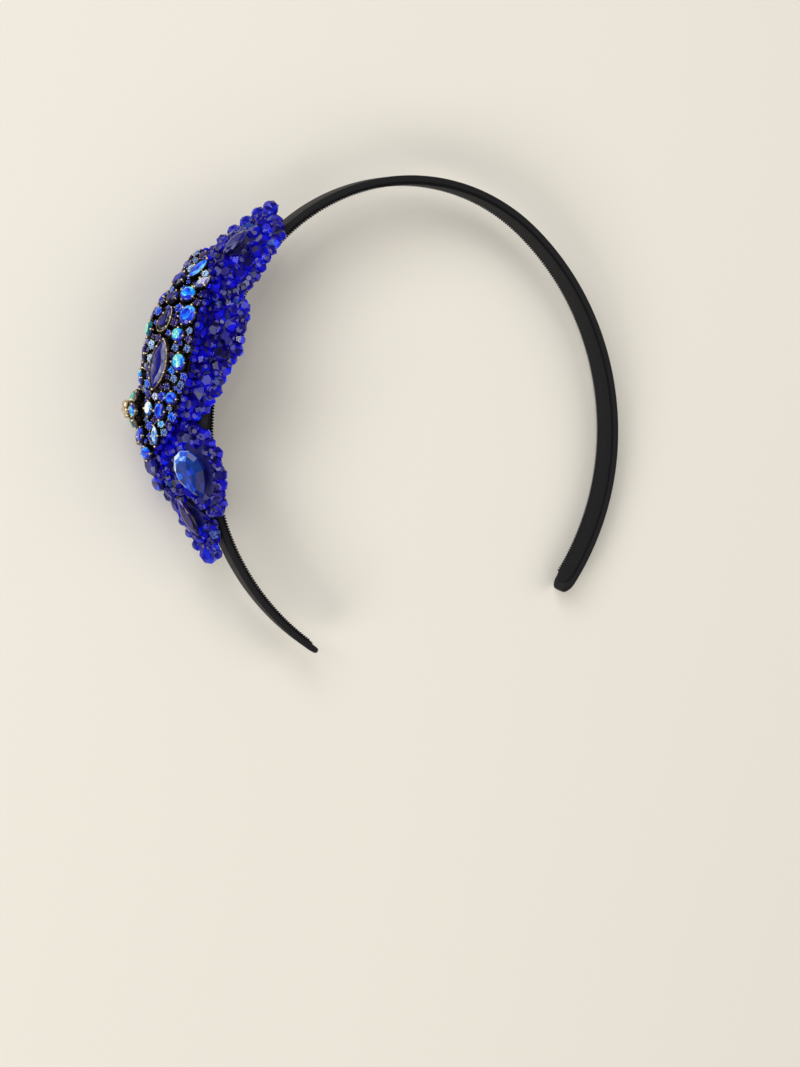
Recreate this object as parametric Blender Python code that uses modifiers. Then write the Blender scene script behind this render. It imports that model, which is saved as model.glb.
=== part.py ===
"""Flower headpiece: a satin-covered hair band with a beaded flower and a jewelled brooch on one side.

Everything is drawn in the worn frame: x towards the flower's side, y forwards, z up, with the origin on
the band's outer face at the crown. An empty then lays the whole headpiece on its rear edge, as it rests
on a table by itself, with the front upwards.

On the flower a place is given by three numbers: along, the distance from the crown over the band's outer
face; across, the distance forwards of the band's middle; and height, the distance out from that face.
"""
import math
from collections import namedtuple

import bmesh
import bpy
from mathutils import Matrix, Vector

MM = 0.001
GAP = 0.3 * MM

# The band: three tangent arcs on each side of the crown, measured on the outer face
CROWN_RADIUS = 66.3 * MM
CROWN_TURN = math.radians(49.1)
SIDE_RADIUS = 94.2 * MM
SIDE_TURN = math.radians(48.0)
LEG_RADIUS = 86.7 * MM
LEG_TURN = math.radians(39.3)
BAND_WIDTH = 11.3 * MM
BAND_THICKNESS = 2.8 * MM
BAND_EDGE_ROUND = 0.45 * MM
TIP_ROUND = 4.5 * MM
TIP_BLUNT = 0.42
LINING_THICKNESS = 0.5 * MM
LINING_WIDTH = 9.7 * MM
LINING_SHORT_OF_TIP = 3.0 * MM
BAND_STATIONS = 55
TIP_STATIONS = 4

CROWN_LENGTH = CROWN_RADIUS * CROWN_TURN
SIDE_LENGTH = SIDE_RADIUS * SIDE_TURN
HALF_LENGTH = CROWN_LENGTH + SIDE_LENGTH + LEG_RADIUS * LEG_TURN

# The flower: a ridged dome that is rolled a little forwards over the band
FLOWER_ROLL = math.tan(math.radians(10.0))
DOME_SLOPE = 0.62
DOME_ROUND = 6.0 * MM
PETAL_THICKNESS = 3.6 * MM
PETAL_CROWN = 0.5 * MM
BACKING_SINK = 0.35 * MM
REAR_SHARE = 0.92
BACKING_FLOOR = 0.85 * MM
PETAL_AROUND = 24
PETAL_RINGS = 8
BACKING_AROUND = 30

# The brooch: a soldered frame on the petals, which carries the cut stones
BROOCH_SLOPE = 0.75
BROOCH_ROUND = 5.0 * MM
PLATE_THICKNESS = 1.0 * MM
SEAT_MARGIN = 0.70 * MM
PLATE_BELOW_STONES = 2.4 * MM
SEAT_DEPTH = 1.4 * MM
SEAT_SHARE = 0.89
SEAT_SIDES = 10
STONE_DEPTH_SHARE = 0.46
SEWN_DEPTH_SHARE = 0.36
SEWN_BACK_SHARE = 0.80
SET_BACK_SHARE = 0.70
TABLE_SHARE = 0.62
GIRDLE_LEVEL = 0.58
NAVETTE_POINT = 0.55
PEAR_TAPER = 0.55
OCTAGON_CORNER = 1.5
POCKET_MARGIN = 0.35 * MM
POCKET_REACH = 8.0 * MM
STONE_SIDES = 12
PLATE_AROUND = 24
PLATE_RINGS = 6

# How the headpiece lies: turned about the crown-to-tips line until the far leg meets the surface
REST_LEAN = math.radians(4.3)
REST_NOD = math.radians(3.3)

Finish = namedtuple("Finish", "colour roughness metallic")
FINISHES = {
    "black_satin": Finish((0.012, 0.012, 0.014), 0.38, 0.0),
    "black_ribbon": Finish((0.010, 0.010, 0.011), 0.70, 0.0),
    "black_felt": Finish((0.008, 0.008, 0.010), 0.95, 0.0),
    "cobalt_beading": Finish((0.010, 0.015, 0.62), 0.12, 0.0),
    "cobalt_bead": Finish((0.008, 0.012, 0.70), 0.06, 0.0),
    "antique_gold": Finish((0.30, 0.22, 0.10), 0.35, 1.0),
    "sapphire": Finish((0.010, 0.030, 0.75), 0.05, 0.0),
    "deep_sapphire": Finish((0.010, 0.012, 0.30), 0.05, 0.0),
    "bright_sapphire": Finish((0.010, 0.120, 0.95), 0.05, 0.0),
    "montana": Finish((0.010, 0.100, 0.38), 0.05, 0.0),
    "violet_blue": Finish((0.045, 0.015, 0.35), 0.05, 0.0),
    "rainbow_blue": Finish((0.050, 0.420, 0.90), 0.05, 0.0),
    "rainbow_clear": Finish((0.520, 0.700, 0.850), 0.05, 0.0),
}

# Height of the petals' surface above the band along the ridge, and of the stones' tops over it, in mm
Ridge = namedtuple("Ridge", "along height")
PETAL_RIDGE = [
    Ridge(30, 4.6), Ridge(34, 5.6), Ridge(38, 6.8), Ridge(45, 8.4), Ridge(53, 10.8), Ridge(62, 12.8),
    Ridge(80, 14.6), Ridge(95, 14.6), Ridge(110, 14.3), Ridge(117, 14.5), Ridge(122, 13.6),
    Ridge(126, 12.4), Ridge(130, 11.2), Ridge(138, 8.3), Ridge(146, 6.5), Ridge(154, 5.0),
]
BROOCH_RIDGE = [
    Ridge(54, 11.8), Ridge(60, 13.2), Ridge(65, 15.2), Ridge(70, 17.4), Ridge(76, 19.8), Ridge(81, 20.4),
    Ridge(86, 19.8), Ridge(91, 19.0), Ridge(97, 17.6), Ridge(104, 17.4), Ridge(111, 18.2), Ridge(118, 17.0),
]

# Outlines seen square on, in mm: a row for each turn of the edge
Edge = namedtuple("Edge", "along across")
TOP_PETAL = [
    Edge(38.8, 0.0), Edge(41.4, -3.4), Edge(47.0, -6.8), Edge(53.0, -9.4), Edge(59.5, -12.8),
    Edge(63.8, -13.6), Edge(69.5, -8.0), Edge(73.4, 0.0), Edge(69.7, 8.6), Edge(64.3, 16.0),
    Edge(59.6, 16.8), Edge(53.0, 15.6), Edge(45.6, 12.6), Edge(39.8, 8.6), Edge(37.6, 4.0),
]
BOTTOM_PETAL = [
    Edge(124.9, 0.0), Edge(127.3, -3.0), Edge(131.4, -6.2), Edge(135.2, -6.4), Edge(138.5, -5.4),
    Edge(142.3, -3.2), Edge(144.6, 0.0), Edge(144.8, 4.2), Edge(142.0, 7.4), Edge(138.6, 9.2),
    Edge(135.2, 9.0), Edge(131.4, 7.3), Edge(127.3, 3.5),
]
UPPER_PETAL = [
    Edge(75.0, 1.0), Edge(89.0, 0.7), Edge(102.8, 1.2), Edge(103.7, 8.6), Edge(103.8, 12.4),
    Edge(101.4, 15.4), Edge(97.0, 18.2), Edge(91.0, 20.4), Edge(86.0, 21.8), Edge(80.0, 22.5),
    Edge(72.5, 21.5), Edge(68.0, 19.6), Edge(65.0, 17.2), Edge(70.4, 9.0),
]
LOWER_PETAL = [
    Edge(104.8, 1.2), Edge(114.0, 0.7), Edge(123.4, 1.2), Edge(126.6, 4.4), Edge(131.0, 9.0),
    Edge(134.0, 11.0), Edge(133.4, 13.6), Edge(129.6, 16.6), Edge(122.5, 20.2), Edge(116.0, 20.9),
    Edge(110.0, 18.9), Edge(106.6, 15.5), Edge(105.2, 11.8), Edge(104.8, 6.4),
]
BACKING_SIDE = [
    Edge(41.0, 3.4), Edge(46.0, 6.4), Edge(54.0, 10.0), Edge(62.0, 12.4), Edge(80.0, 14.6),
    Edge(94.0, 14.8), Edge(110.0, 13.4), Edge(122.0, 11.4), Edge(130.0, 8.8), Edge(137.0, 6.2),
    Edge(142.0, 3.6),
]
BACKING_ENDS = (38.5, 144.5)
BACKING_REAR_SHARE = 1.15
PLATE_SIDE = [
    Edge(60.0, 5.4), Edge(63.4, 8.6), Edge(68.0, 10.0), Edge(73.0, 11.8), Edge(79.0, 12.8),
    Edge(86.0, 14.0), Edge(92.0, 14.0), Edge(98.5, 12.8), Edge(103.4, 11.0), Edge(110.0, 6.8),
]
PLATE_ENDS = (57.4, 114.6)

# The strings of larger beads round the tips of the top and bottom petals
RimString = namedtuple("RimString", "node petal beads diameter start stop lift")
RIM_STRINGS = [
    RimString("petal_top_rim_beads", "petal_top", 7, 4.4, -0.055, 0.265, 0.6),
    RimString("petal_bottom_rim_beads", "petal_bottom", 5, 4.2, 0.215, 0.580, 0.4),
]
# One bead along its thread: the place in bead pitches from its middle, and the share of its radius
BEAD_PROFILE = [(-0.48, 0.30), (-0.36, 0.74), (-0.14, 0.98), (0.14, 0.98), (0.36, 0.74)]
THREAD_END_SHARE = 0.30

# Stones sewn into the petals: place and size in mm, turn in degrees from the ridge, depth below the beads
Sewn = namedtuple("Sewn", "node along across length width turn cut finish sunk petals")
PETAL_STONES = [
    Sewn("petal_top_marquise", 51.6, 5.6, 10.4, 5.0, 8, "navette", "deep_sapphire", 1.4, ("petal_top",)),
    Sewn("petal_bottom_marquise", 132.6, 5.2, 14.4, 5.0, -8, "navette", "violet_blue", 1.4,
         ("petal_bottom", "petal_lower_front")),
    Sewn("petal_lower_front_pear", 119.0, 12.8, 15.0, 10.6, 8, "pear", "montana", 2.0,
         ("petal_lower_front",)),
    Sewn("petal_lower_back_octagon", 117.6, -6.0, 7.2, 6.6, 0, "octagon", "deep_sapphire", 0.9,
         ("petal_lower_back",)),
    Sewn("petal_lower_back_baguette", 124.0, -7.4, 4.4, 6.0, 0, "octagon", "violet_blue", 0.9,
         ("petal_lower_back",)),
]

# Stones set in the brooch, in the same units
Stone = namedtuple("Stone", "node along across length width turn cut finish")
BROOCH_STONES = [
    Stone("stone_upper_navette", 63.0, 5.4, 7.4, 2.9, 0, "navette", "sapphire"),
    Stone("stone_pink_navette", 66.2, 9.2, 5.0, 3.1, 0, "navette", "rainbow_clear"),
    Stone("stone_ridge_top", 67.6, 1.0, 5.2, 4.3, 0, "oval", "sapphire"),
    Stone("stone_cyan_round", 70.6, 7.0, 4.8, 4.5, 0, "oval", "rainbow_blue"),
    Stone("stone_dark_round", 72.6, 2.2, 4.4, 4.2, 0, "oval", "deep_sapphire"),
    Stone("stone_blue_oval", 75.9, 10.0, 6.4, 5.2, 0, "oval", "bright_sapphire"),
    Stone("stone_bezel_pear", 78.6, 4.4, 7.8, 4.4, 172, "pear", "deep_sapphire"),
    Stone("stone_rainbow_round", 81.4, 9.4, 4.2, 4.2, 0, "oval", "rainbow_blue"),
    Stone("stone_green_round", 81.8, -1.0, 5.0, 4.6, 0, "oval", "rainbow_blue"),
    Stone("stone_long_navette", 90.0, 5.6, 15.6, 5.6, -13, "navette", "deep_sapphire"),
    Stone("stone_mint_oval", 88.4, 11.6, 5.2, 4.4, 0, "oval", "rainbow_blue"),
    Stone("stone_bright_round", 98.4, 10.9, 4.0, 4.0, 0, "oval", "bright_sapphire"),
    Stone("stone_clear_oval", 102.0, 3.0, 4.4, 3.0, 0, "oval", "rainbow_clear"),
    Stone("stone_lower_oval", 102.2, 7.4, 5.2, 3.8, 0, "oval", "bright_sapphire"),
    Stone("stone_clear_navette", 109.0, 5.4, 6.2, 2.4, 10, "navette", "rainbow_clear"),
    Stone("stone_lower_ridge", 109.2, -0.8, 4.5, 4.2, 0, "oval", "bright_sapphire"),
    Stone("stone_lower_blue", 113.6, 2.2, 4.2, 4.2, 0, "oval", "bright_sapphire"),
    Stone("stone_ridge_oval", 88.0, -3.2, 5.4, 4.8, 0, "oval", "sapphire"),
    Stone("stone_ridge_round", 94.2, -3.4, 4.6, 4.4, 0, "oval", "rainbow_blue"),
    Stone("stone_rear_top_round", 73.4, -3.6, 4.6, 4.4, 0, "oval", "rainbow_blue"),
    Stone("stone_rear_oval", 78.2, -8.0, 6.6, 5.0, 0, "oval", "bright_sapphire"),
    Stone("stone_rear_mint", 84.6, -9.6, 4.8, 4.6, 0, "oval", "rainbow_blue"),
    Stone("stone_rear_navette", 91.8, -9.4, 7.4, 3.6, 0, "navette", "deep_sapphire"),
    Stone("stone_rear_round", 97.8, -11.0, 4.2, 4.2, 0, "oval", "sapphire"),
    Stone("stone_rear_low_oval", 110.2, -6.6, 4.6, 4.0, 0, "oval", "sapphire"),
]

# The small raised flower near the brooch's lower end: a stemmed cup, a ring of stones and a pistil of balls
ROSETTE_ALONG = 102.8 * MM
ROSETTE_ACROSS = -4.6 * MM
ROSETTE_CUP_HEIGHT = 2.0 * MM
ROSETTE_CUP_RADIUS = 4.4 * MM
ROSETTE_STONES = 6
ROSETTE_STONE_RING = 4.2 * MM
ROSETTE_STONE_SIZE = 3.7
PISTIL_BALLS = 5
PISTIL_RING = 1.8 * MM
PISTIL_HEIGHT = 5.0 * MM
PISTIL_BALL_RADIUS = 1.25 * MM
PISTIL_BALL_STEP = 0.24 * MM
STEM_ABOVE_BALLS = 0.35 * MM
PISTIL_STEM_RADIUS = 1.2 * MM
CUP_SIDES = 18
STEM_SIDES = 8
BALL_AROUND = 8
BALL_RINGS = 6


def clear_scene():
    """Remove every object and the collections they leave behind."""
    for scene_object in list(bpy.data.objects):
        bpy.data.objects.remove(scene_object, do_unlink=True)
    for old_collection in list(bpy.data.collections):
        bpy.data.collections.remove(old_collection)


def new_collection(name):
    """Return a collection linked to the scene."""
    collection = bpy.data.collections.new(name)
    bpy.context.scene.collection.children.link(collection)
    return collection


def material_for(finish_name):
    """Return the Principled material of a named finish, made once."""
    if finish_name in bpy.data.materials:
        return bpy.data.materials[finish_name]
    finish = FINISHES[finish_name]
    material = bpy.data.materials.new(finish_name)
    material.use_nodes = True
    shader = material.node_tree.nodes["Principled BSDF"]
    shader.inputs["Base Color"].default_value = (*finish.colour, 1.0)
    shader.inputs["Roughness"].default_value = finish.roughness
    shader.inputs["Metallic"].default_value = finish.metallic
    material.diffuse_color = (*finish.colour, 1.0)
    return material


def add_object(name, data, finish_name, frame, collection, smooth=True):
    """Make an object of a mesh or curve, dress it and hang it on the resting frame."""
    new_object = bpy.data.objects.new(name, data)
    data.materials.append(material_for(finish_name))
    collection.objects.link(new_object)
    new_object.parent = frame
    if smooth and isinstance(data, bpy.types.Mesh):
        data.shade_smooth()
        data.set_sharp_from_angle(angle=math.radians(40.0))
    return new_object


def mesh_from(bm, name):
    """Write a bmesh to a new mesh and free it."""
    mesh = bpy.data.meshes.new(name)
    bm.to_mesh(mesh)
    bm.free()
    return mesh


def arc_centres():
    """Centres of the crown, side and leg arcs, in the plane of x and z."""
    crown = Vector((0.0, -CROWN_RADIUS))
    first = Vector((math.sin(CROWN_TURN), math.cos(CROWN_TURN)))
    side = crown + first * (CROWN_RADIUS - SIDE_RADIUS)
    second = Vector((math.sin(CROWN_TURN + SIDE_TURN), math.cos(CROWN_TURN + SIDE_TURN)))
    leg = side + second * (SIDE_RADIUS - LEG_RADIUS)
    return crown, side, leg


CROWN_CENTRE, SIDE_CENTRE, LEG_CENTRE = arc_centres()


def band_place(along):
    """The point on the band's outer line at a distance from the crown, and the outward direction there."""
    reach = abs(along)
    if reach < CROWN_LENGTH:
        centre, radius, turn = CROWN_CENTRE, CROWN_RADIUS, reach / CROWN_RADIUS
    elif reach < CROWN_LENGTH + SIDE_LENGTH:
        centre, radius = SIDE_CENTRE, SIDE_RADIUS
        turn = CROWN_TURN + (reach - CROWN_LENGTH) / SIDE_RADIUS
    else:
        centre, radius = LEG_CENTRE, LEG_RADIUS
        turn = CROWN_TURN + SIDE_TURN + (reach - CROWN_LENGTH - SIDE_LENGTH) / LEG_RADIUS
    outward = Vector((math.sin(turn), math.cos(turn)))
    point = centre + outward * radius
    side = math.copysign(1.0, along)
    return Vector((point.x * side, 0.0, point.y)), Vector((outward.x * side, 0.0, outward.y))


def flower_point(along, across, height):
    """A place on the flower, in metres, as a point of the worn frame."""
    point, outward = band_place(along)
    return point + outward * height + Vector((0.0, across, 0.0))


def read_ridge(ridge, along):
    """Height of a ridge at a distance along the band, straight between its rows, in metres."""
    place = along / MM
    if place <= ridge[0].along:
        return ridge[0].height * MM
    for low, high in zip(ridge, ridge[1:]):
        if place <= high.along:
            share = (place - low.along) / (high.along - low.along)
            return (low.height + (high.height - low.height) * share) * MM
    return ridge[-1].height * MM


def petal_top(along, across):
    """Height of the beaded surface of the petals."""
    fall = math.hypot(across, DOME_ROUND) - DOME_ROUND
    return read_ridge(PETAL_RIDGE, along) - DOME_SLOPE * fall - FLOWER_ROLL * across


def brooch_top(along, across):
    """Height that the tops of the brooch's stones reach."""
    fall = math.hypot(across, BROOCH_ROUND) - BROOCH_ROUND
    return read_ridge(BROOCH_RIDGE, along) - BROOCH_SLOPE * fall - FLOWER_ROLL * across


def closed_curve(corners, share):
    """The point at a share of the way round a smooth closed line through the corners."""
    count = len(corners)
    place = (share % 1.0) * count
    first = int(place) % count
    t = place - int(place)
    before, start, stop, after = (corners[(first + step) % count] for step in (-1, 0, 1, 2))
    weights = (
        -0.5 * t + t * t - 0.5 * t ** 3,
        1.0 - 2.5 * t * t + 1.5 * t ** 3,
        0.5 * t + 2.0 * t * t - 1.5 * t ** 3,
        -0.5 * t * t + 0.5 * t ** 3,
    )
    along = sum(w * corner.along for w, corner in zip(weights, (before, start, stop, after)))
    across = sum(w * corner.across for w, corner in zip(weights, (before, start, stop, after)))
    return along * MM, across * MM


def two_sided(side, ends, rear_share):
    """A whole outline, run forwards first, from one side's rows and the two end points on the ridge."""
    near_end, far_end = ends
    front = [Edge(row.along, row.across) for row in side]
    rear = [Edge(row.along, -row.across * rear_share) for row in side]
    return [Edge(near_end, 0.0)] + rear + [Edge(far_end, 0.0)] + front[::-1]


def rearward(outline):
    """The mirror image of an outline on the rear of the band, run the same way round."""
    return [Edge(row.along, -row.across * REAR_SHARE) for row in reversed(outline)]


def pressed_ball(bm, around, rings, place):
    """Add a sphere primitive and press it: place(share_out, share_round, level) gives each point."""
    made = bmesh.ops.create_uvsphere(bm, u_segments=around, v_segments=rings, radius=1.0)
    for vertex in made["verts"]:
        share_out = min(1.0, math.hypot(vertex.co.x, vertex.co.y))
        share_round = (math.atan2(vertex.co.y, vertex.co.x) / math.tau) % 1.0
        vertex.co = place(share_out, share_round, vertex.co.z)
    return made["verts"]


def pad_mesh(name, outline, top, bottom, around, rings):
    """A closed pad between two height functions: its rim follows the outline and is rounded."""
    middle_along = sum(row.along for row in outline) / len(outline) * MM
    middle_across = sum(row.across for row in outline) / len(outline) * MM

    def place(share_out, share_round, level):
        rim_along, rim_across = closed_curve(outline, share_round)
        along = middle_along + (rim_along - middle_along) * share_out
        across = middle_across + (rim_across - middle_across) * share_out
        high, low = top(along, across, share_out), bottom(along, across)
        swell = math.copysign(math.sqrt(abs(level)), level)
        return flower_point(along, across, (high + low) / 2 + (high - low) / 2 * swell)

    bm = bmesh.new()
    pressed_ball(bm, around, rings, place)
    return mesh_from(bm, name)


def strip_stations(half_length, stations, tip_stations, tip_length):
    """Distances from the crown of a strip's cross lines, even along it and closer round its tips."""
    straight = half_length - tip_length
    even = [straight * (2.0 * i / stations - 1.0) for i in range(stations + 1)]
    ends = [straight + tip_length * math.sin(math.pi / 2 * (i + 1) / tip_stations) for i in range(tip_stations)]
    return [-end for end in reversed(ends)] + even + ends


def strip_mesh(name, half_length, width, inset, tip_length, across_cuts):
    """An open strip that follows the band at a depth below its outer face, with rounded tips."""
    stations = strip_stations(half_length, BAND_STATIONS, TIP_STATIONS, tip_length)
    bm = bmesh.new()
    bmesh.ops.create_grid(bm, x_segments=len(stations) - 1, y_segments=across_cuts, size=1.0)
    last = len(stations) - 1
    for vertex in bm.verts:
        along = stations[round((vertex.co.x + 1.0) / 2.0 * last)]
        into_tip = max(0.0, abs(along) - (half_length - tip_length)) / tip_length
        half_width = width / 2 * (TIP_BLUNT + (1.0 - TIP_BLUNT) * math.sqrt(max(0.0, 1.0 - into_tip ** 2)))
        vertex.co = flower_point(along, vertex.co.y * half_width, -inset)
    bmesh.ops.recalc_face_normals(bm, faces=bm.faces)
    if bm.faces[:][len(bm.faces) // 2].normal.z < 0.0:
        bmesh.ops.reverse_faces(bm, faces=bm.faces)
    return mesh_from(bm, name)


def add_thickness(strip_object, thickness):
    """Give a strip its thickness, inwards from its face."""
    solid = strip_object.modifiers.new("thickness", "SOLIDIFY")
    solid.thickness = thickness
    solid.offset = -1.0
    solid.use_even_offset = True
    return solid


def build_band(frame, collection):
    """The satin-covered band and the ribbon that lines it."""
    core_thickness = BAND_THICKNESS - LINING_THICKNESS - GAP
    mesh = strip_mesh("band", HALF_LENGTH, BAND_WIDTH, 0.0, TIP_ROUND, 1)
    band = add_object("band", mesh, "black_satin", frame, collection)
    add_thickness(band, core_thickness)
    rounding = band.modifiers.new("rounded_edges", "BEVEL")
    rounding.width = BAND_EDGE_ROUND
    rounding.segments = 1
    rounding.limit_method = "ANGLE"
    rounding.angle_limit = math.radians(50.0)
    lining_half = HALF_LENGTH - LINING_SHORT_OF_TIP
    mesh = strip_mesh("band_lining", lining_half, LINING_WIDTH, core_thickness + GAP, TIP_ROUND, 1)
    lining = add_object("band_lining", mesh, "black_ribbon", frame, collection)
    add_thickness(lining, LINING_THICKNESS)


def build_backing(frame, collection):
    """The black felt pad between the band and the petals."""
    def top(along, across, share_out):
        return petal_top(along, across) - PETAL_THICKNESS - GAP - BACKING_SINK

    def bottom(along, across):
        return BACKING_FLOOR

    outline = two_sided(BACKING_SIDE, BACKING_ENDS, BACKING_REAR_SHARE)
    mesh = pad_mesh("flower_backing", outline, top, bottom, BACKING_AROUND, PETAL_RINGS)
    add_object("flower_backing", mesh, "black_felt", frame, collection)


def petal_outlines():
    """The six petals by name."""
    return {
        "petal_top": TOP_PETAL,
        "petal_upper_front": UPPER_PETAL,
        "petal_upper_back": rearward(UPPER_PETAL),
        "petal_lower_front": LOWER_PETAL,
        "petal_lower_back": rearward(LOWER_PETAL),
        "petal_bottom": BOTTOM_PETAL,
    }


def build_petals(frame, collection):
    """Six padded petals paved with beads, each one solid to the tops of its beads."""
    def top(along, across, share_out):
        return petal_top(along, across) + PETAL_CROWN * (1.0 - share_out ** 2)

    def bottom(along, across):
        return petal_top(along, across) - PETAL_THICKNESS

    for name, outline in petal_outlines().items():
        mesh = pad_mesh(name, outline, top, bottom, PETAL_AROUND, PETAL_RINGS)
        add_object(name, mesh, "cobalt_beading", frame, collection)


def rim_path(outline, string):
    """Points and outward rim directions along which a string of rim beads lies."""
    middle_along = sum(row.along for row in outline) / len(outline) * MM
    middle_across = sum(row.across for row in outline) / len(outline) * MM
    radius = string.diameter / 2 * MM
    samples = []
    steps = string.beads * 12
    for step in range(steps + 1):
        share = string.start + (string.stop - string.start) * step / steps
        along, across = closed_curve(outline, share)
        height = petal_top(along, across) - PETAL_THICKNESS / 2 + string.lift * MM
        outward = Vector((along - middle_along, across - middle_across)).normalized()
        along += outward.x * (radius + 2 * GAP)
        across += outward.y * (radius + 2 * GAP)
        samples.append(flower_point(along, across, height))
    return samples


def point_on_path(samples, lengths, distance):
    """The point at a distance along a sampled path."""
    distance = min(max(distance, 0.0), lengths[-1])
    for index in range(1, len(samples)):
        if distance <= lengths[index]:
            span = lengths[index] - lengths[index - 1]
            share = (distance - lengths[index - 1]) / span
            return samples[index - 1].lerp(samples[index], share)
    return samples[-1]


def build_rim_string(outline, string, frame, collection):
    """A string of round beads joined along its thread, as one tube that swells at each bead."""
    samples = rim_path(outline, string)
    lengths = [0.0]
    for first, second in zip(samples, samples[1:]):
        lengths.append(lengths[-1] + (second - first).length)
    pitch = lengths[-1] / string.beads
    curve = bpy.data.curves.new(string.node, "CURVE")
    curve.dimensions = "3D"
    curve.bevel_depth = string.diameter / 2 * MM
    curve.bevel_resolution = 2
    curve.use_fill_caps = True
    spline = curve.splines.new("POLY")
    profile = BEAD_PROFILE
    spline.points.add(string.beads * len(profile))
    index = 0
    for bead in range(string.beads):
        for offset, share in profile:
            point = point_on_path(samples, lengths, (bead + 0.5 + offset) * pitch)
            spline.points[index].co = (*point, 1.0)
            spline.points[index].radius = share
            index += 1
    spline.points[index].co = (*samples[-1], 1.0)
    spline.points[index].radius = THREAD_END_SHARE
    add_object(string.node, curve, "cobalt_bead", frame, collection)


def cut_reach(cut, share_round):
    """How far the girdle of a cut reaches at a share of the way round, as shares of its half length and width."""
    turn = share_round * math.tau
    if cut == "navette":
        return math.cos(turn), math.sin(turn) * abs(math.sin(turn)) ** NAVETTE_POINT
    if cut == "pear":
        lean = 0.5 * (1.0 + math.cos(turn))
        return math.cos(turn), math.sin(turn) * (1.0 - PEAR_TAPER * lean ** 2)
    if cut == "octagon":
        bound = max(abs(math.cos(turn)), abs(math.sin(turn)))
        corner = 1.0 / max(bound, (abs(math.cos(turn)) + abs(math.sin(turn))) / OCTAGON_CORNER)
        return math.cos(turn) * corner, math.sin(turn) * corner
    return math.cos(turn), math.sin(turn)


def surface_frame(surface, along, across, height):
    """A frame on the flower: its x axis runs along the band and its z axis is the surface's own normal."""
    step = 0.5 * MM
    here = flower_point(along, across, height)
    ahead = flower_point(along + step, across, height + surface(along + step, across) - surface(along, across))
    aside = flower_point(along, across + step, height + surface(along, across + step) - surface(along, across))
    x_axis = (ahead - here).normalized()
    z_axis = x_axis.cross(aside - here).normalized()
    y_axis = z_axis.cross(x_axis)
    frame = Matrix((x_axis, y_axis, z_axis)).transposed().to_4x4()
    frame.translation = here
    return frame


def stone_mesh(name, cut, length, width, depth, back_share):
    """A cut stone with its back down: flat table, sloped crown, girdle and pavilion."""
    def place(share_out, share_round, level):
        reach_length, reach_width = cut_reach(cut, share_round)
        if abs(level) < 0.1:
            scale, height = 1.0, GIRDLE_LEVEL
        elif level > 0.0:
            scale, height = TABLE_SHARE, 1.0
        else:
            scale, height = back_share, 0.0
        scale = 0.0 if share_out < 0.1 else scale
        return Vector((reach_length * length / 2 * scale, reach_width * width / 2 * scale, height * depth))

    bm = bmesh.new()
    pressed_ball(bm, STONE_SIDES, 4, place)
    return mesh_from(bm, name)


def seat_height(stone):
    """Height at which a brooch stone's culet sits: under the stones' tops, but clear of the petals."""
    along, across = stone.along * MM, stone.across * MM
    wanted = brooch_top(along, across) - stone.width * STONE_DEPTH_SHARE * MM
    lowest = petal_top(along, across) + PETAL_CROWN + SEAT_MARGIN + SEAT_DEPTH
    return max(wanted, lowest)


def place_stone(stone, surface, height, depth, back_share, frame, collection):
    """One cut stone on a surface of the flower, with its back at the given height."""
    mesh = stone_mesh(stone.node, stone.cut, stone.length * MM, stone.width * MM, depth, back_share)
    placed = add_object(stone.node, mesh, stone.finish, frame, collection, smooth=False)
    seat = surface_frame(surface, stone.along * MM, stone.across * MM, height)
    placed.matrix_local = seat @ Matrix.Rotation(math.radians(stone.turn), 4, "Z")


def build_brooch_stones(frame, collection):
    """The stones set in the brooch."""
    for stone in BROOCH_STONES:
        depth = stone.width * STONE_DEPTH_SHARE * MM
        place_stone(stone, brooch_top, seat_height(stone) + GAP, depth, SET_BACK_SHARE, frame, collection)


def add_guide(name, bm, frame, guides):
    """Keep a cutting or joining shape out of the model, and return it."""
    guide = bpy.data.objects.new(name, mesh_from(bm, name))
    guides.objects.link(guide)
    guide.parent = frame
    guide.hide_render = True
    guide.display_type = "WIRE"
    return guide


def add_boolean(target, guide, operation):
    """Join a guide to an object or cut it away."""
    boolean = target.modifiers.new(guide.name, "BOOLEAN")
    boolean.operation = operation
    boolean.object = guide


def build_petal_stones(frame, collection, guides):
    """The stones sewn on the petals, each in a pocket between the beads."""
    for stone in PETAL_STONES:
        surface = petal_top(stone.along * MM, stone.across * MM) + PETAL_CROWN
        floor = surface - stone.sunk * MM
        depth = stone.width * SEWN_DEPTH_SHARE * MM
        place_stone(stone, petal_top, floor + GAP, depth, SEWN_BACK_SHARE, frame, collection)
        bm = bmesh.new()
        bmesh.ops.create_cone(
            bm, cap_ends=True, segments=STONE_SIDES, depth=POCKET_REACH, radius1=1.0, radius2=1.0,
        )
        for vertex in bm.verts:
            share_round = (math.atan2(vertex.co.y, vertex.co.x) / math.tau) % 1.0
            reach_length, reach_width = cut_reach(stone.cut, share_round)
            vertex.co.x = reach_length * (stone.length / 2 * MM + POCKET_MARGIN)
            vertex.co.y = reach_width * (stone.width / 2 * MM + POCKET_MARGIN)
            vertex.co.z += POCKET_REACH / 2
        seat = surface_frame(petal_top, stone.along * MM, stone.across * MM, floor)
        turned = seat @ Matrix.Rotation(math.radians(stone.turn), 4, "Z")
        bmesh.ops.transform(bm, matrix=turned, verts=bm.verts)
        pocket = add_guide(stone.node + "_pocket", bm, frame, guides)
        for petal in stone.petals:
            add_boolean(bpy.data.objects[petal], pocket, "DIFFERENCE")


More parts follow.
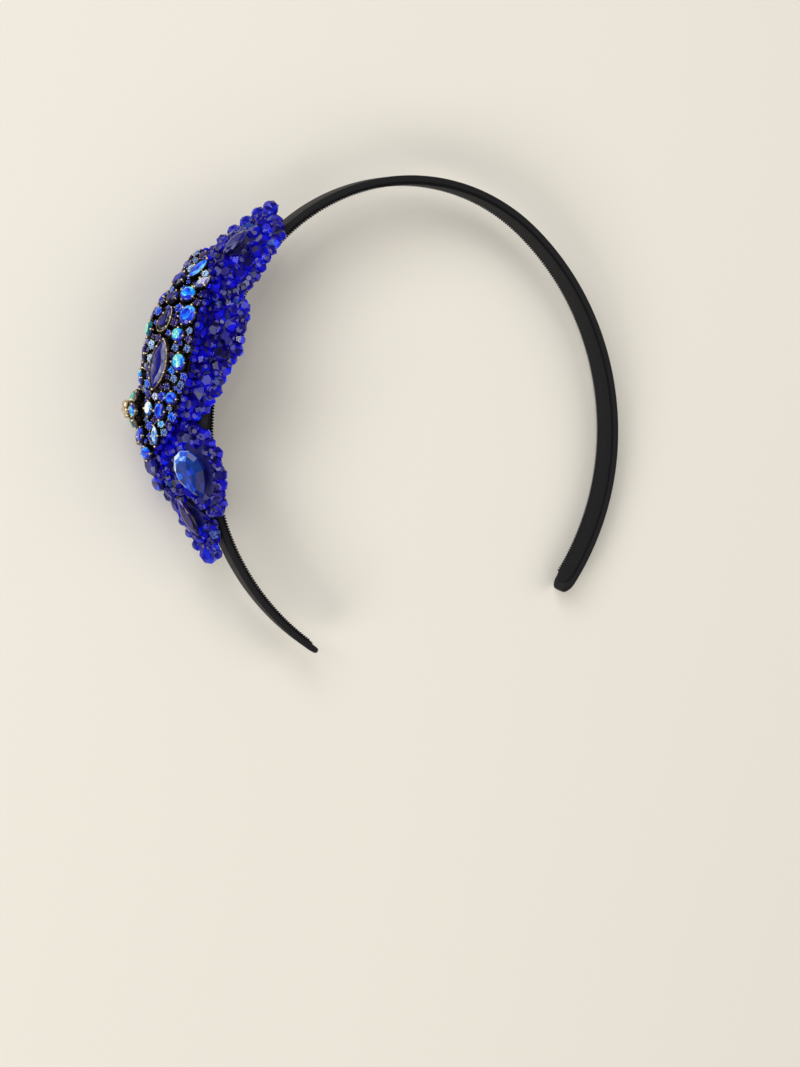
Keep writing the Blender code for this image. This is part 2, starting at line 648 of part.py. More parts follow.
def seat_pad(stone):
    """The metal seat under a brooch stone, a short tapered disc on the frame."""
    bm = bmesh.new()
    bmesh.ops.create_cone(
        bm, cap_ends=True, segments=SEAT_SIDES, depth=SEAT_DEPTH,
        radius1=0.5 * SEAT_SHARE, radius2=0.5 * SEAT_SHARE,
    )
    for vertex in bm.verts:
        vertex.co.x *= stone.length * MM
        vertex.co.y *= stone.width * MM
        vertex.co.z -= SEAT_DEPTH / 2
    seat = surface_frame(brooch_top, stone.along * MM, stone.across * MM, seat_height(stone))
    bmesh.ops.transform(bm, matrix=seat @ Matrix.Rotation(math.radians(stone.turn), 4, "Z"), verts=bm.verts)
    return bm


def plate_top(along, across, share_out):
    """Height of the frame's upper face, which runs under the stones' seats."""
    lowest = petal_top(along, across) + PETAL_CROWN + SEAT_MARGIN + PLATE_THICKNESS
    return max(lowest, brooch_top(along, across) - PLATE_BELOW_STONES)


def plate_bottom(along, across):
    """Height of the frame's underside, just clear of the petals."""
    return petal_top(along, across) + PETAL_CROWN + SEAT_MARGIN


def rosette_frame():
    """The frame of the raised flower, with its z axis out from the brooch."""
    height = plate_top(ROSETTE_ALONG, ROSETTE_ACROSS, 0.0)
    return surface_frame(brooch_top, ROSETTE_ALONG, ROSETTE_ACROSS, height)


def rosette_solids():
    """The raised flower's metal: cup, stem and pistil balls, each a bmesh in the worn frame."""
    seat = rosette_frame()
    solids = []
    for radius, low, high, sides in (
        (ROSETTE_CUP_RADIUS, -PLATE_THICKNESS / 2, ROSETTE_CUP_HEIGHT, CUP_SIDES),
        (PISTIL_STEM_RADIUS, ROSETTE_CUP_HEIGHT - PLATE_THICKNESS, PISTIL_HEIGHT + STEM_ABOVE_BALLS, STEM_SIDES),
    ):
        bm = bmesh.new()
        bmesh.ops.create_cone(bm, cap_ends=True, segments=sides, depth=high - low, radius1=radius, radius2=radius)
        bmesh.ops.translate(bm, vec=Vector((0.0, 0.0, (high + low) / 2)), verts=bm.verts)
        bmesh.ops.transform(bm, matrix=seat, verts=bm.verts)
        solids.append(bm)
    for ball in range(PISTIL_BALLS):
        turn = math.tau * ball / PISTIL_BALLS
        bm = bmesh.new()
        bmesh.ops.create_uvsphere(bm, u_segments=BALL_AROUND, v_segments=BALL_RINGS, radius=PISTIL_BALL_RADIUS)
        height = PISTIL_HEIGHT + PISTIL_BALL_STEP * ball
        place = Vector((math.cos(turn) * PISTIL_RING, math.sin(turn) * PISTIL_RING, height))
        bmesh.ops.translate(bm, vec=place, verts=bm.verts)
        bmesh.ops.transform(bm, matrix=seat, verts=bm.verts)
        solids.append(bm)
    return solids


def build_brooch_frame(frame, collection, guides):
    """The soldered frame: a domed plate with the stones' seats and the raised flower's metal."""
    outline = two_sided(PLATE_SIDE, PLATE_ENDS, 1.0)
    mesh = pad_mesh("brooch_frame", outline, plate_top, plate_bottom, PLATE_AROUND, PLATE_RINGS)
    brooch = add_object("brooch_frame", mesh, "antique_gold", frame, collection)
    solids = [seat_pad(stone) for stone in BROOCH_STONES] + rosette_solids()
    for number, bm in enumerate(solids):
        add_boolean(brooch, add_guide(f"soldered_{number:02d}", bm, frame, guides), "UNION")


def build_rosette_stones(frame, collection):
    """The ring of small stones round the raised flower's cup."""
    seat = rosette_frame()
    for number in range(ROSETTE_STONES):
        name = f"raised_flower_stone_{number + 1}"
        size = ROSETTE_STONE_SIZE * MM
        mesh = stone_mesh(name, "oval", size, size, size * STONE_DEPTH_SHARE, SET_BACK_SHARE)
        finish = "rainbow_blue" if number % 2 else "sapphire"
        stone = add_object(name, mesh, finish, frame, collection, smooth=False)
        turn = Matrix.Rotation(math.tau * (number + 0.5) / ROSETTE_STONES, 4, "Z")
        out = Matrix.Translation(Vector((ROSETTE_STONE_RING, 0.0, ROSETTE_CUP_HEIGHT + GAP)))
        stone.matrix_local = seat @ turn @ out


def stand_on_surface(frame, collection):
    """Move the resting frame so that the headpiece stands on z = 0, centred over the origin."""
    bpy.context.view_layer.update()
    graph = bpy.context.evaluated_depsgraph_get()
    corners = []
    for part_object in collection.objects:
        evaluated = part_object.evaluated_get(graph)
        mesh = evaluated.to_mesh()
        corners.extend(evaluated.matrix_world @ vertex.co for vertex in mesh.vertices)
        evaluated.to_mesh_clear()
    low = [min(corner[axis] for corner in corners) for axis in range(3)]
    high = [max(corner[axis] for corner in corners) for axis in range(3)]
    shift = Vector((-(low[0] + high[0]) / 2, -(low[1] + high[1]) / 2, -low[2]))
    frame.matrix_world = Matrix.Translation(shift) @ frame.matrix_world
    bpy.context.view_layer.update()


def main():
    """Build the headpiece and lay it down."""
    clear_scene()
    collection = new_collection("flower_headpiece")
    guides = new_collection("guides")
    frame = bpy.data.objects.new("resting_frame", None)
    bpy.context.scene.collection.objects.link(frame)
    lying = Matrix(((-1.0, 0.0, 0.0), (0.0, 0.0, 1.0), (0.0, 1.0, 0.0))).to_4x4()
    lean = Matrix.Rotation(REST_LEAN, 4, "Y") @ Matrix.Rotation(REST_NOD, 4, "X")
    frame.matrix_world = lean @ lying
    build_band(frame, collection)
    build_backing(frame, collection)
    build_petals(frame, collection)
    for string in RIM_STRINGS:
        build_rim_string(petal_outlines()[string.petal], string, frame, collection)
    build_brooch_frame(frame, collection, guides)
    build_brooch_stones(frame, collection)
    build_petal_stones(frame, collection, guides)
    build_rosette_stones(frame, collection)
    stand_on_surface(frame, collection)


main()
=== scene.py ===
"""Looks of the flower headpiece: a satin hair band with a beaded cobalt flower and a jewelled brooch.

Lengths in the tables are millimetres, and every finished mesh is in metres in the frame of the CAD model.
On the flower a place is given by along, the distance from the crown over the band's outer face, across, the
distance forwards of the band's middle, and height, the distance out from that face.
"""

import logging
from dataclasses import dataclass, field, replace
from enum import Enum
from functools import cache
from math import atan2, copysign, cos, hypot, pi, radians, sin, sqrt, tan, tau
from random import Random
from typing import Callable, NamedTuple, Optional, Sequence

import bmesh
import bpy
import numpy as np
from bpy.types import Material, Mesh, Node, NodeSocket, Object
from mathutils import Matrix, Vector

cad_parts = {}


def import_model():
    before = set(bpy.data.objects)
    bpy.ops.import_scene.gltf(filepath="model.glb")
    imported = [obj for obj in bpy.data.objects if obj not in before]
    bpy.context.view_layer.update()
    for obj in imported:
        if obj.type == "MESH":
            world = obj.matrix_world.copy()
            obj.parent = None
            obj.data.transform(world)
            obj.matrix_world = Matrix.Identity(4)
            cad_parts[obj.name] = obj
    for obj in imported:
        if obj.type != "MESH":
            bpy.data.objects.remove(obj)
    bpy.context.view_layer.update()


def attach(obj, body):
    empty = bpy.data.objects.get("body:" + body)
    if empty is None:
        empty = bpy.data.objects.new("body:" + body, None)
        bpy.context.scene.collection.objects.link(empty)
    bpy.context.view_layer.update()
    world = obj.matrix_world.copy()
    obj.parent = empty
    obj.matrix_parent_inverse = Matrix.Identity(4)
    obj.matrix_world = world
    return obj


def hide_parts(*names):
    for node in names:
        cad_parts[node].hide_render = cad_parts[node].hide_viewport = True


MM = 0.001
BODY = "root"
LOG = logging.getLogger("flower_headpiece")

Colour = tuple[float, float, float]
Place = tuple[float, float]
Triple = tuple[float, float, float]
Faces = list[tuple[int, ...]]


# Shader and node helpers


class Value:
    """A shader socket that takes part in sums and products."""

    def __init__(self, graph: "ShaderGraph", socket: NodeSocket) -> None:
        """Keep the socket with the graph that it belongs to."""
        self.graph = graph
        self.socket = socket

    def __add__(self, other: "Value | float") -> "Value":
        """Return the sum."""
        return self.graph.maths("ADD", self, other)

    def __radd__(self, other: float) -> "Value":
        """Return the sum."""
        return self.graph.maths("ADD", other, self)

    def __sub__(self, other: "Value | float") -> "Value":
        """Return the difference."""
        return self.graph.maths("SUBTRACT", self, other)

    def __rsub__(self, other: float) -> "Value":
        """Return the difference."""
        return self.graph.maths("SUBTRACT", other, self)

    def __mul__(self, other: "Value | float") -> "Value":
        """Return the product."""
        return self.graph.maths("MULTIPLY", self, other)

    def __rmul__(self, other: float) -> "Value":
        """Return the product."""
        return self.graph.maths("MULTIPLY", other, self)

    def __gt__(self, other: "Value | float") -> "Value":
        """Return 1 where this is greater."""
        return self.graph.maths("GREATER_THAN", self, other)


class NodeTree:
    """A node tree whose nodes are added together with their settings and inputs."""

    def __init__(self, tree: bpy.types.NodeTree) -> None:
        """Keep the tree."""
        self.tree = tree

    def put(self, socket: NodeSocket, value: object) -> None:
        """Link a value to a socket, or set the socket.

        Args:
            socket: The input socket.
            value: A Value, a socket, a number or a tuple.
        """
        if isinstance(value, Value):
            self.tree.links.new(value.socket, socket)
        elif isinstance(value, NodeSocket):
            self.tree.links.new(value, socket)
        elif isinstance(value, tuple) and socket.type == "RGBA" and len(value) == 3:
            socket.default_value = (*value, 1.0)
        else:
            socket.default_value = value

    def node(self, kind: str, settings: Optional[dict] = None, inputs: Optional[dict] = None) -> Node:
        """Add a node.

        Args:
            kind: The node's type.
            settings: Its settings; "stops" fills a colour ramp.
            inputs: The values or links of its sockets, by name or number.

        Returns:
            The new node.
        """
        made = self.tree.nodes.new(kind)
        for key, setting in (settings or {}).items():
            if key == "stops":
                self.fill_ramp(made.color_ramp, setting)
            else:
                setattr(made, key, setting)
        for key, value in (inputs or {}).items():
            self.put(made.inputs[key], value)
        return made

    @staticmethod
    def fill_ramp(ramp: bpy.types.ColorRamp, stops: Sequence[tuple[float, Colour]]) -> None:
        """Set the stops of a colour ramp.

        Args:
            ramp: The ramp.
            stops: Places from 0 to 1 with their colours.
        """
        while len(ramp.elements) < len(stops):
            ramp.elements.new(1.0)
        for element, (place, colour) in zip(ramp.elements, stops):
            element.position = place
            element.color = (*colour, 1.0)


class ShaderGraph(NodeTree):
    """A material's node tree, with its Principled shader at hand."""

    def __init__(self, name: str, colour: Colour) -> None:
        """Make the material.

        Args:
            name: Its name.
            colour: Its plain colour for viewports.
        """
        self.material = bpy.data.materials.new(name)
        self.material.use_nodes = True
        self.material.diffuse_color = (*colour, 1.0)
        super().__init__(self.material.node_tree)
        self.shader = self.tree.nodes["Principled BSDF"]

    def value(self, output: "int | str", kind: str, settings: Optional[dict] = None,
              inputs: Optional[dict] = None) -> Value:
        """Add a node and return one of its outputs."""
        return Value(self, self.node(kind, settings, inputs).outputs[output])

    def maths(self, operation: str, first: "Value | float", second: "Value | float") -> Value:
        """Add a Math node and return its value."""
        return self.value(0, "ShaderNodeMath", {"operation": operation}, {0: first, 1: second})

    def mix(self, factor: "Value | float", first: object, second: object) -> Value:
        """Mix two colours, by the share of the second one."""
        return self.value(2, "ShaderNodeMix", {"data_type": "RGBA"}, {0: factor, 6: first, 7: second})

    def attribute(self, name: str) -> Value:
        """Return a number stored on the mesh."""
        return self.value("Fac", "ShaderNodeAttribute", {"attribute_name": name})

    def facing(self, direction: Colour) -> Value:
        """Return how far the surface faces a direction, from -1 to 1."""
        inputs = {0: self.node("ShaderNodeNewGeometry").outputs["Normal"], 1: direction}
        return self.value("Value", "ShaderNodeVectorMath", {"operation": "DOT_PRODUCT"}, inputs)

    def place(self) -> NodeSocket:
        """Return the Object coordinates."""
        return self.node("ShaderNodeTexCoord").outputs["Object"]

    def along_strip(self, squeeze: float) -> NodeSocket:
        """Return a place that runs along a strip of cloth, with the way across it squeezed."""
        inputs = {"X": self.attribute("run"), "Y": self.attribute("girth") * squeeze}
        return self.node("ShaderNodeCombineXYZ", {}, inputs).outputs[0]

    def noise(self, scale: float, detail: float = 3.0, roughness: float = 0.5, at: object = None) -> Value:
        """Return a noise of some cycles a metre, at the Object coordinates or at others."""
        inputs = {"Vector": at or self.place(), "Scale": scale, "Detail": detail, "Roughness": roughness}
        return self.value("Fac", "ShaderNodeTexNoise", {}, inputs)

    def weave(self, way: str, at: NodeSocket, scale: float, uneven: float, detail: float = 1.0) -> Value:
        """Return bands that run across a direction, more or less uneven, for threads and ribs."""
        inputs = {"Vector": at, "Scale": scale, "Distortion": uneven, "Detail": detail}
        return self.value("Fac", "ShaderNodeTexWave", {"bands_direction": way}, inputs)

    def ramp(self, value: Value, stops: Sequence[tuple[float, Colour]]) -> Value:
        """Turn a value into a colour, by places from 0 to 1 with their colours."""
        return self.value("Color", "ShaderNodeValToRGB", {"stops": stops}, {"Fac": value})

    def bump(self, height: Value, strength: float, distance: float) -> None:
        """Send a height from 0 to 1 to the shader's Normal, with its strength and its size in metres."""
        inputs = {"Height": height, "Strength": strength, "Distance": distance}
        self.put(self.shader.inputs["Normal"], self.node("ShaderNodeBump", {}, inputs).outputs["Normal"])

    def settle(self, **sockets: object) -> Material:
        """Set the shader's sockets.

        Args:
            sockets: The values, by the sockets' names with underscores.

        Returns:
            The material.
        """
        for name, value in sockets.items():
            self.put(self.shader.inputs[name.replace("_", " ")], value)
        return self.material


class ItemTree(NodeTree):
    """A Geometry Nodes tree with named inputs, which ends in Realize Instances and Set Material."""

    def __init__(self, name: str, numbers: dict[str, float]) -> None:
        """Make the tree and its inputs.

        Args:
            name: The tree's name.
            numbers: Named inputs for sizes, with their values.
        """
        super().__init__(bpy.data.node_groups.new(name, "GeometryNodeTree"))
        self.sockets: dict[str, str] = {}
        face = self.tree.interface
        face.new_socket("Geometry", in_out="INPUT", socket_type="NodeSocketGeometry")
        for label, kind in (("Item", "NodeSocketObject"), ("Material", "NodeSocketMaterial")):
            self.sockets[label] = face.new_socket(label, in_out="INPUT", socket_type=kind).identifier
        for label, number in numbers.items():
            made = face.new_socket(label, in_out="INPUT", socket_type="NodeSocketFloat")
            made.default_value = number
            self.sockets[label] = made.identifier
        face.new_socket("Geometry", in_out="OUTPUT", socket_type="NodeSocketGeometry")
        self.start = self.tree.nodes.new("NodeGroupInput")
        self.stop = self.tree.nodes.new("NodeGroupOutput")

    @staticmethod
    def live(node: Node) -> NodeSocket:
        """Return a node's first output that is in use."""
        return next(socket for socket in node.outputs if socket.enabled)

    def stored(self, name: str) -> NodeSocket:
        """Return a vector that is stored on the points."""
        settings = {"data_type": "FLOAT_VECTOR"}
        return self.live(self.node("GeometryNodeInputNamedAttribute", settings, {"Name": name}))

    def set_items(self, points: NodeSocket, turn: NodeSocket, size: NodeSocket) -> None:
        """Set the item on points, realize the instances, set the material and close the tree.

        Args:
            points: The points.
            turn: The items' rotation.
            size: The items' scale.
        """
        item = self.node("GeometryNodeObjectInfo", {}, {"Object": self.start.outputs["Item"]})
        inputs = {"Points": points, "Instance": item.outputs["Geometry"], "Rotation": turn, "Scale": size}
        placed = self.node("GeometryNodeInstanceOnPoints", {}, inputs)
        real = self.node("GeometryNodeRealizeInstances", {}, {"Geometry": placed.outputs[0]})
        inputs = {"Geometry": real.outputs[0], "Material": self.start.outputs["Material"]}
        finished = self.node("GeometryNodeSetMaterial", {}, inputs)
        self.tree.links.new(finished.outputs[0], self.stop.inputs[0])

    def run(self, host: Object, name: str, values: dict[str, object]) -> Object:
        """Put the tree on a host, turn the result into a plain mesh and remove the host.

        Args:
            host: The mesh that carries the points or the path.
            name: The name of the result.
            values: The inputs' values by name.

        Returns:
            The finished object.
        """
        modifier = host.modifiers.new("items", "NODES")
        modifier.node_group = self.tree
        for label, value in values.items():
            modifier[self.sockets[label]] = value
        bpy.context.view_layer.update()
        graph = bpy.context.evaluated_depsgraph_get()
        mesh = bpy.data.meshes.new_from_object(host.evaluated_get(graph), depsgraph=graph)
        bpy.data.objects.remove(host)
        return link(name, mesh)


def scatter_tree() -> ItemTree:
    """Build the tree that sets an item on each point, by the point's own turn and size.

    Returns:
        The tree, with the input Scale.
    """
    made = ItemTree("set_items_on_points", {"Scale": 1.0})
    asked = made.start.outputs
    points = made.node("GeometryNodeMeshToPoints", {}, {"Mesh": asked["Geometry"], "Radius": 0.0001})
    rotation = made.node("FunctionNodeEulerToRotation", {}, {0: made.stored("turn")})
    inputs = {0: made.stored("size"), "Scale": asked["Scale"]}
    scaled = made.node("ShaderNodeVectorMath", {"operation": "SCALE"}, inputs)
    made.set_items(points.outputs[0], rotation.outputs[0], scaled.outputs[0])
    return made


def row_tree() -> ItemTree:
    """Build the tree that sets an item at an even pitch along a path, turned to the path.

    Returns:
        The tree, with the inputs Pitch, Scale and Seed.
    """
    made = ItemTree("set_items_along_path", {"Pitch": 0.001, "Scale": 1.0, "Seed": 1.0})
    asked = made.start.outputs
    curve = made.node("GeometryNodeMeshToCurve", {}, {"Mesh": asked["Geometry"]})
    inputs = {"Curve": curve.outputs[0], "Length": asked["Pitch"]}
    even = made.node("GeometryNodeResampleCurve", {"mode": "LENGTH"}, inputs)
    along = made.node("GeometryNodeInputTangent")
    first = made.node("FunctionNodeAlignRotationToVector", {"axis": "X"}, {"Vector": along.outputs[0]})
    inputs = {"Rotation": first.outputs[0], "Vector": made.stored("out")}
    second = made.node("FunctionNodeAlignRotationToVector", {"axis": "Z", "pivot_axis": "X"}, inputs)
    tint = made.node("FunctionNodeRandomValue", {"data_type": "FLOAT"}, {"Seed": asked["Seed"]})
    inputs = {"Geometry": even.outputs[0], "Name": "tint", "Value": made.live(tint)}
    marked = made.node("GeometryNodeStoreNamedAttribute", {"data_type": "FLOAT", "domain": "POINT"}, inputs)
    size = made.node("ShaderNodeCombineXYZ", {}, {axis: asked["Scale"] for axis in "XYZ"})
    made.set_items(marked.outputs[0], second.outputs[0], size.outputs[0])
    return made


# Meshes and objects


def link(name: str, mesh: Mesh, finish: object = None, shown: bool = True) -> Object:
    """Make an object of a mesh.

    Args:
        name: The object's name.
        mesh: Its mesh.
        finish: The finish of its material, if it has none yet.
        shown: Whether it is in the scene.

    Returns:
        The object.
    """
    made = bpy.data.objects.new(name, mesh)
    mesh.name = name
    if finish is not None:
        mesh.materials.append(dressed(finish))
    if shown:
        bpy.context.scene.collection.objects.link(made)
    return made


def mesh_of(points: Sequence[Vector], faces: Faces = (), edges: Sequence[tuple[int, int]] = ()) -> Mesh:
    """Make a mesh.

    Args:
        points: Its corners.
        faces: The corners of each face.
        edges: The ends of each loose edge.

    Returns:
        The mesh.
    """
    mesh = bpy.data.meshes.new("mesh")
    mesh.from_pydata(points, edges, faces)
    mesh.validate()
    return mesh


def solid(points: Sequence[Vector], faces: Faces, sharp: float = 0.0) -> Mesh:
    """Make a closed solid with its faces turned outwards.

    Args:
        points: Its corners.
        faces: The corners of each face.
        sharp: The least angle of a sharp edge in degrees, or 0 for flat facets.

    Returns:
        The mesh.
    """
    mesh = mesh_of(points, faces)
    bm = bmesh.new()
    bm.from_mesh(mesh)
    bmesh.ops.recalc_face_normals(bm, faces=bm.faces)
    bm.to_mesh(mesh)
    bm.free()
    if sharp:
        mesh.shade_smooth()
        mesh.set_sharp_from_angle(angle=radians(sharp))
    return mesh


def ring_faces(rows: int, columns: int) -> Faces:
    """List the quads between closed rings of points, by the number of rings and the points in each."""
    return [face for low in range(0, (rows - 1) * columns, columns) for face in facets(low, columns)]


def facets(first: int, sides: int, shift: float = 0.0, next_shift: float = 0.0) -> Faces:
    """List the facets between two rings, triangles where the rings are shifted against each other.

    Args:
        first: The number of the lower ring's first point.
        sides: The points in a ring.
        shift: The lower ring's shift.
        next_shift: The upper ring's shift.

    Returns:
        The faces.
    """
    faces: Faces = []
    for side in range(sides):
        low, low_after = first + side, first + (side + 1) % sides
        high, high_after = low + sides, low_after + sides
        if shift == next_shift:
            faces.append((low, low_after, high_after, high))
        elif shift < next_shift:
            faces.extend(((low, low_after, high), (low_after, high_after, high)))
        else:
            faces.extend(((low, low_after, high_after), (low, high_after, high)))
    return faces


def circle(radius: float, height: float, sides: int, shift: float = 0.0) -> list[Vector]:
    """Return a ring of points round the z axis, shifted by a share of a side."""
    turns = [tau * (side + shift) / sides for side in range(sides)]
    return [Vector((cos(turn) * radius, sin(turn) * radius, height)) for turn in turns]


def closed_tube(rings: Sequence[Sequence[Vector]], sharp: float) -> Mesh:
    """Make a closed solid through rings of points, with both ends filled.

    Args:
        rings: Rings of equally many points.
        sharp: The least angle of a sharp edge, in degrees.

    Returns:
        The mesh.
    """
    columns = len(rings[0])
    last = (len(rings) - 1) * columns
    ends = [tuple(reversed(range(columns))), tuple(range(last, last + columns))]
    return solid([point for ring in rings for point in ring], ring_faces(len(rings), columns) + ends, sharp)


def store(mesh: Mesh, name: str, values: Sequence[float], domain: str = "POINT") -> None:
    """Store a number on each point or face of a mesh."""
    mesh.attributes.new(name, "FLOAT", domain).data.foreach_set("value", values)


def store_ways(mesh: Mesh, name: str, ways: Sequence[Sequence[float]]) -> None:
    """Store a vector on each point of a mesh."""
    layer = mesh.attributes.new(name, "FLOAT_VECTOR", "POINT")
    layer.data.foreach_set("vector", [part for way in ways for part in way])


def give_facets(mesh: Mesh, top: float, seed: int) -> None:
    """Store a number from 0 to 1 on each face for its tone, by chance, with more added on the flat top to
    mark it for the painted reflection.
    """
    draw = Random(seed)
    store(mesh, "facet", [draw.random() + top * (face.normal.z > 0.95) for face in mesh.polygons], "FACE")


def place_piece(piece: Object, slot: str, *nodes: str) -> None:
    """Let a finished piece ride on the body and stand for CAD nodes.

    Args:
        piece: The piece.
        slot: The record's material slot; not used.
        nodes: The nodes that it replaces.
    """
    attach(piece, BODY)
    if nodes:
        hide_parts(*nodes)
    LOG.info("%s: %d faces", piece.name, len(piece.data.polygons))


# The band's line and the flower's surfaces


@dataclass(frozen=True)
class BandLine:
    """The outer line of the band in its worn frame, and the way that it lies at rest.

    Each arc is a radius in mm with a turn in degrees.
    """

    arcs: tuple[Place, ...] = ((66.3, 49.1), (94.2, 48.0), (86.7, 39.3))
    lean: float = 4.3
    nod: float = 3.3
    shift: Triple = (0.010475, 0.073887, 0.017683)

    @property
    def half_length(self) -> float:
        """Return the length from the crown to a tip, in mm."""
        return sum(radius * radians(turn) for radius, turn in self.arcs)

    def rest(self) -> Matrix:
        """Find how the band lies at rest.

        Returns:
            The matrix from the worn frame to the frame of the CAD model.
        """
        lying = Matrix(((-1.0, 0.0, 0.0), (0.0, 0.0, 1.0), (0.0, 1.0, 0.0))).to_4x4()
        lean = Matrix.Rotation(radians(self.lean), 4, "Y")
        nod = Matrix.Rotation(radians(self.nod), 4, "X")
        return Matrix.Translation(self.shift) @ lean @ nod @ lying

    def worn_place(self, along: float) -> tuple[Vector, Vector]:
        """Find a place on the outer line.

        Args:
            along: The distance from the crown in mm, negative on the plain side.

        Returns:
            The point in mm and the outward direction, in the worn frame.
        """
        left = abs(along)
        centre = Vector((0.0, -self.arcs[0][0]))
        heading = 0.0
        for number, (radius, turn) in enumerate(self.arcs):
            reach = radius * radians(turn)
            if left <= reach or number == len(self.arcs) - 1:
                break
            left -= reach
            heading += radians(turn)
            step = radius - self.arcs[number + 1][0]
            centre = centre + Vector((sin(heading), cos(heading))) * step
        heading += left / radius
        outward = Vector((sin(heading), cos(heading)))
        point = centre + outward * radius
        side = copysign(1.0, along)
        return Vector((point.x * side, 0.0, point.y)), Vector((outward.x * side, 0.0, outward.y))

    def point(self, along: float, across: float, height: float) -> Vector:
        """Return a place on the band or flower, given in mm, in metres in the CAD frame."""
        point, outward = self.worn_place(along)
        return REST @ ((point + outward * height + Vector((0.0, across, 0.0))) * MM)


LINE = BandLine()
REST = LINE.rest()

Surface = Callable[[float, float], float]


def read_ridge(rows: Sequence[Place], along: float) -> float:
    """Read a height off a table of distances along the band with heights, straight between its rows."""
    return float(np.interp(along, [row[0] for row in rows], [row[1] for row in rows]))


@dataclass(frozen=True)
class Dome:
    """A ridged surface over the band: its ridge's heights, its slope and how round its ridge is."""

    ridge: tuple[Place, ...]
    slope: float
    ridge_round: float
    roll: float = tan(radians(10.0))

    def height(self, along: float, across: float) -> float:
        """Return the surface's height at a place, in mm."""
        fall = hypot(across, self.ridge_round) - self.ridge_round
        return read_ridge(self.ridge, along) - self.slope * fall - self.roll * across

    def frame(self, along: float, across: float, height: float) -> Matrix:
        """Find a frame parallel to the surface, in metres in the CAD frame.

        Args:
            along: The place's distance from the crown.
            across: Its distance forwards.
            height: The height of the frame's origin.

        Returns:
            A matrix whose x axis runs along the band and whose z axis is the surface's normal.
        """
        step = 0.5
        base = self.height(along, across)
        here = LINE.point(along, across, height)
        ahead = LINE.point(along + step, across, height + self.height(along + step, across) - base)
        aside = LINE.point(along, across + step, height + self.height(along, across + step) - base)
        x_axis = (ahead - here).normalized()
        z_axis = x_axis.cross(aside - here).normalized()
        frame = Matrix((x_axis, z_axis.cross(x_axis), z_axis)).transposed().to_4x4()
        frame.translation = here
        return frame


PETAL_DOME = Dome((
    (30, 4.6), (34, 5.6), (38, 6.8), (45, 8.4), (53, 10.8), (62, 12.8), (80, 14.6), (95, 14.6),
    (110, 14.3), (117, 14.5), (122, 13.6), (126, 12.4), (130, 11.2), (138, 8.3), (146, 6.5), (154, 5.0),
), slope=0.62, ridge_round=6.0)
BROOCH_DOME = Dome((
    (54, 11.8), (60, 13.2), (65, 15.2), (70, 17.4), (76, 19.8), (81, 20.4), (86, 19.8), (91, 19.0),
    (97, 17.6), (104, 17.4), (111, 18.2), (118, 17.0),
), slope=0.75, ridge_round=5.0)


# Outlines on the flower


class Outline:
    """A smooth closed line through a few corners, in along and across."""

    samples: int = 240

    def __init__(self, corners: Sequence[Place]) -> None:
        """Sample the smooth line through the corners, and the distance to it at each bearing.

        Args:
            corners: The corners in order.
        """
        self.corners = list(corners)
        self.line = np.array([self.at(step / self.samples) for step in range(self.samples)])
        self.middle = np.mean(np.array(self.corners, float), axis=0)
        spokes = self.line - self.middle
        bearings = np.arctan2(spokes[:, 1], spokes[:, 0])
        order = np.argsort(bearings)
        self.bearings, self.reaches = bearings[order], np.hypot(spokes[:, 0], spokes[:, 1])[order]

    def at(self, share: float) -> Place:
        """Find a point on a smooth curve through the corners.

        Args:
            share: The share of the way round.

        Returns:
            The point.
        """
        count = len(self.corners)
        place = (share % 1.0) * count
        first = int(place) % count
        t = place - int(place)
        rows = [self.corners[(first + step) % count] for step in (-1, 0, 1, 2)]
        weights = (
            -0.5 * t + t * t - 0.5 * t**3, 1.0 - 2.5 * t * t + 1.5 * t**3,
            0.5 * t + 2.0 * t * t - 1.5 * t**3, -0.5 * t * t + 0.5 * t**3,
        )
        return (
            sum(weight * row[0] for weight, row in zip(weights, rows)),
            sum(weight * row[1] for weight, row in zip(weights, rows)),
        )

    def share_out(self, along: float, across: float) -> float:
        """Find how far out a place is.

        Args:
            along: The place.
            across: The place.

        Returns:
            From 0 at the middle to 1 at the rim.
        """
        spoke = np.array((along, across)) - self.middle
        bearing = atan2(spoke[1], spoke[0])
        reach = float(np.interp(bearing, self.bearings, self.reaches, period=tau))
        return float(np.hypot(spoke[0], spoke[1])) / reach

    def depth(self, along: float, across: float) -> float:
        """Return the distance inside the line, in mm, negative outside it."""
        return signed_distance(self.line, along, across)

    def inset(self, distance: float) -> np.ndarray:
        """Move the line inwards.

        Args:
            distance: The distance in mm.

        Returns:
            The moved line, without the points that fold over.
        """
        ahead = np.roll(self.line, -1, axis=0) - np.roll(self.line, 1, axis=0)
        ahead = ahead / np.linalg.norm(ahead, axis=1, keepdims=True)
        inward = np.stack([-ahead[:, 1], ahead[:, 0]], axis=1)
        trial = self.line + inward * distance
        if np.mean([self.depth(*row) for row in trial[::12]]) < 0.0:
            trial = self.line - inward * distance
        return np.array([row for row in trial if self.depth(*row) > 0.9 * distance])


def evenly_spaced(line: np.ndarray, pitch: float) -> list[Place]:
    """Space points evenly round a closed line.

    Args:
        line: The line's points.
        pitch: The wanted distance, in mm.

    Returns:
        The spaced points.
    """
    run = np.vstack([line, line[:1]])
    lengths = np.concatenate([[0.0], np.cumsum(np.linalg.norm(np.diff(run, axis=0), axis=1))])
    count = max(2, round(lengths[-1] / pitch))
    stops = [lengths[-1] * number / count for number in range(count)]
    return [tuple(float(np.interp(stop, lengths, run[:, axis])) for axis in (0, 1)) for stop in stops]


def mirrored(corners: Sequence[Place], share: float) -> list[Place]:
    """Return the mirror image of an outline on the rear of the band, run the same way round."""
    return [(along, -across * share) for along, across in reversed(corners)]


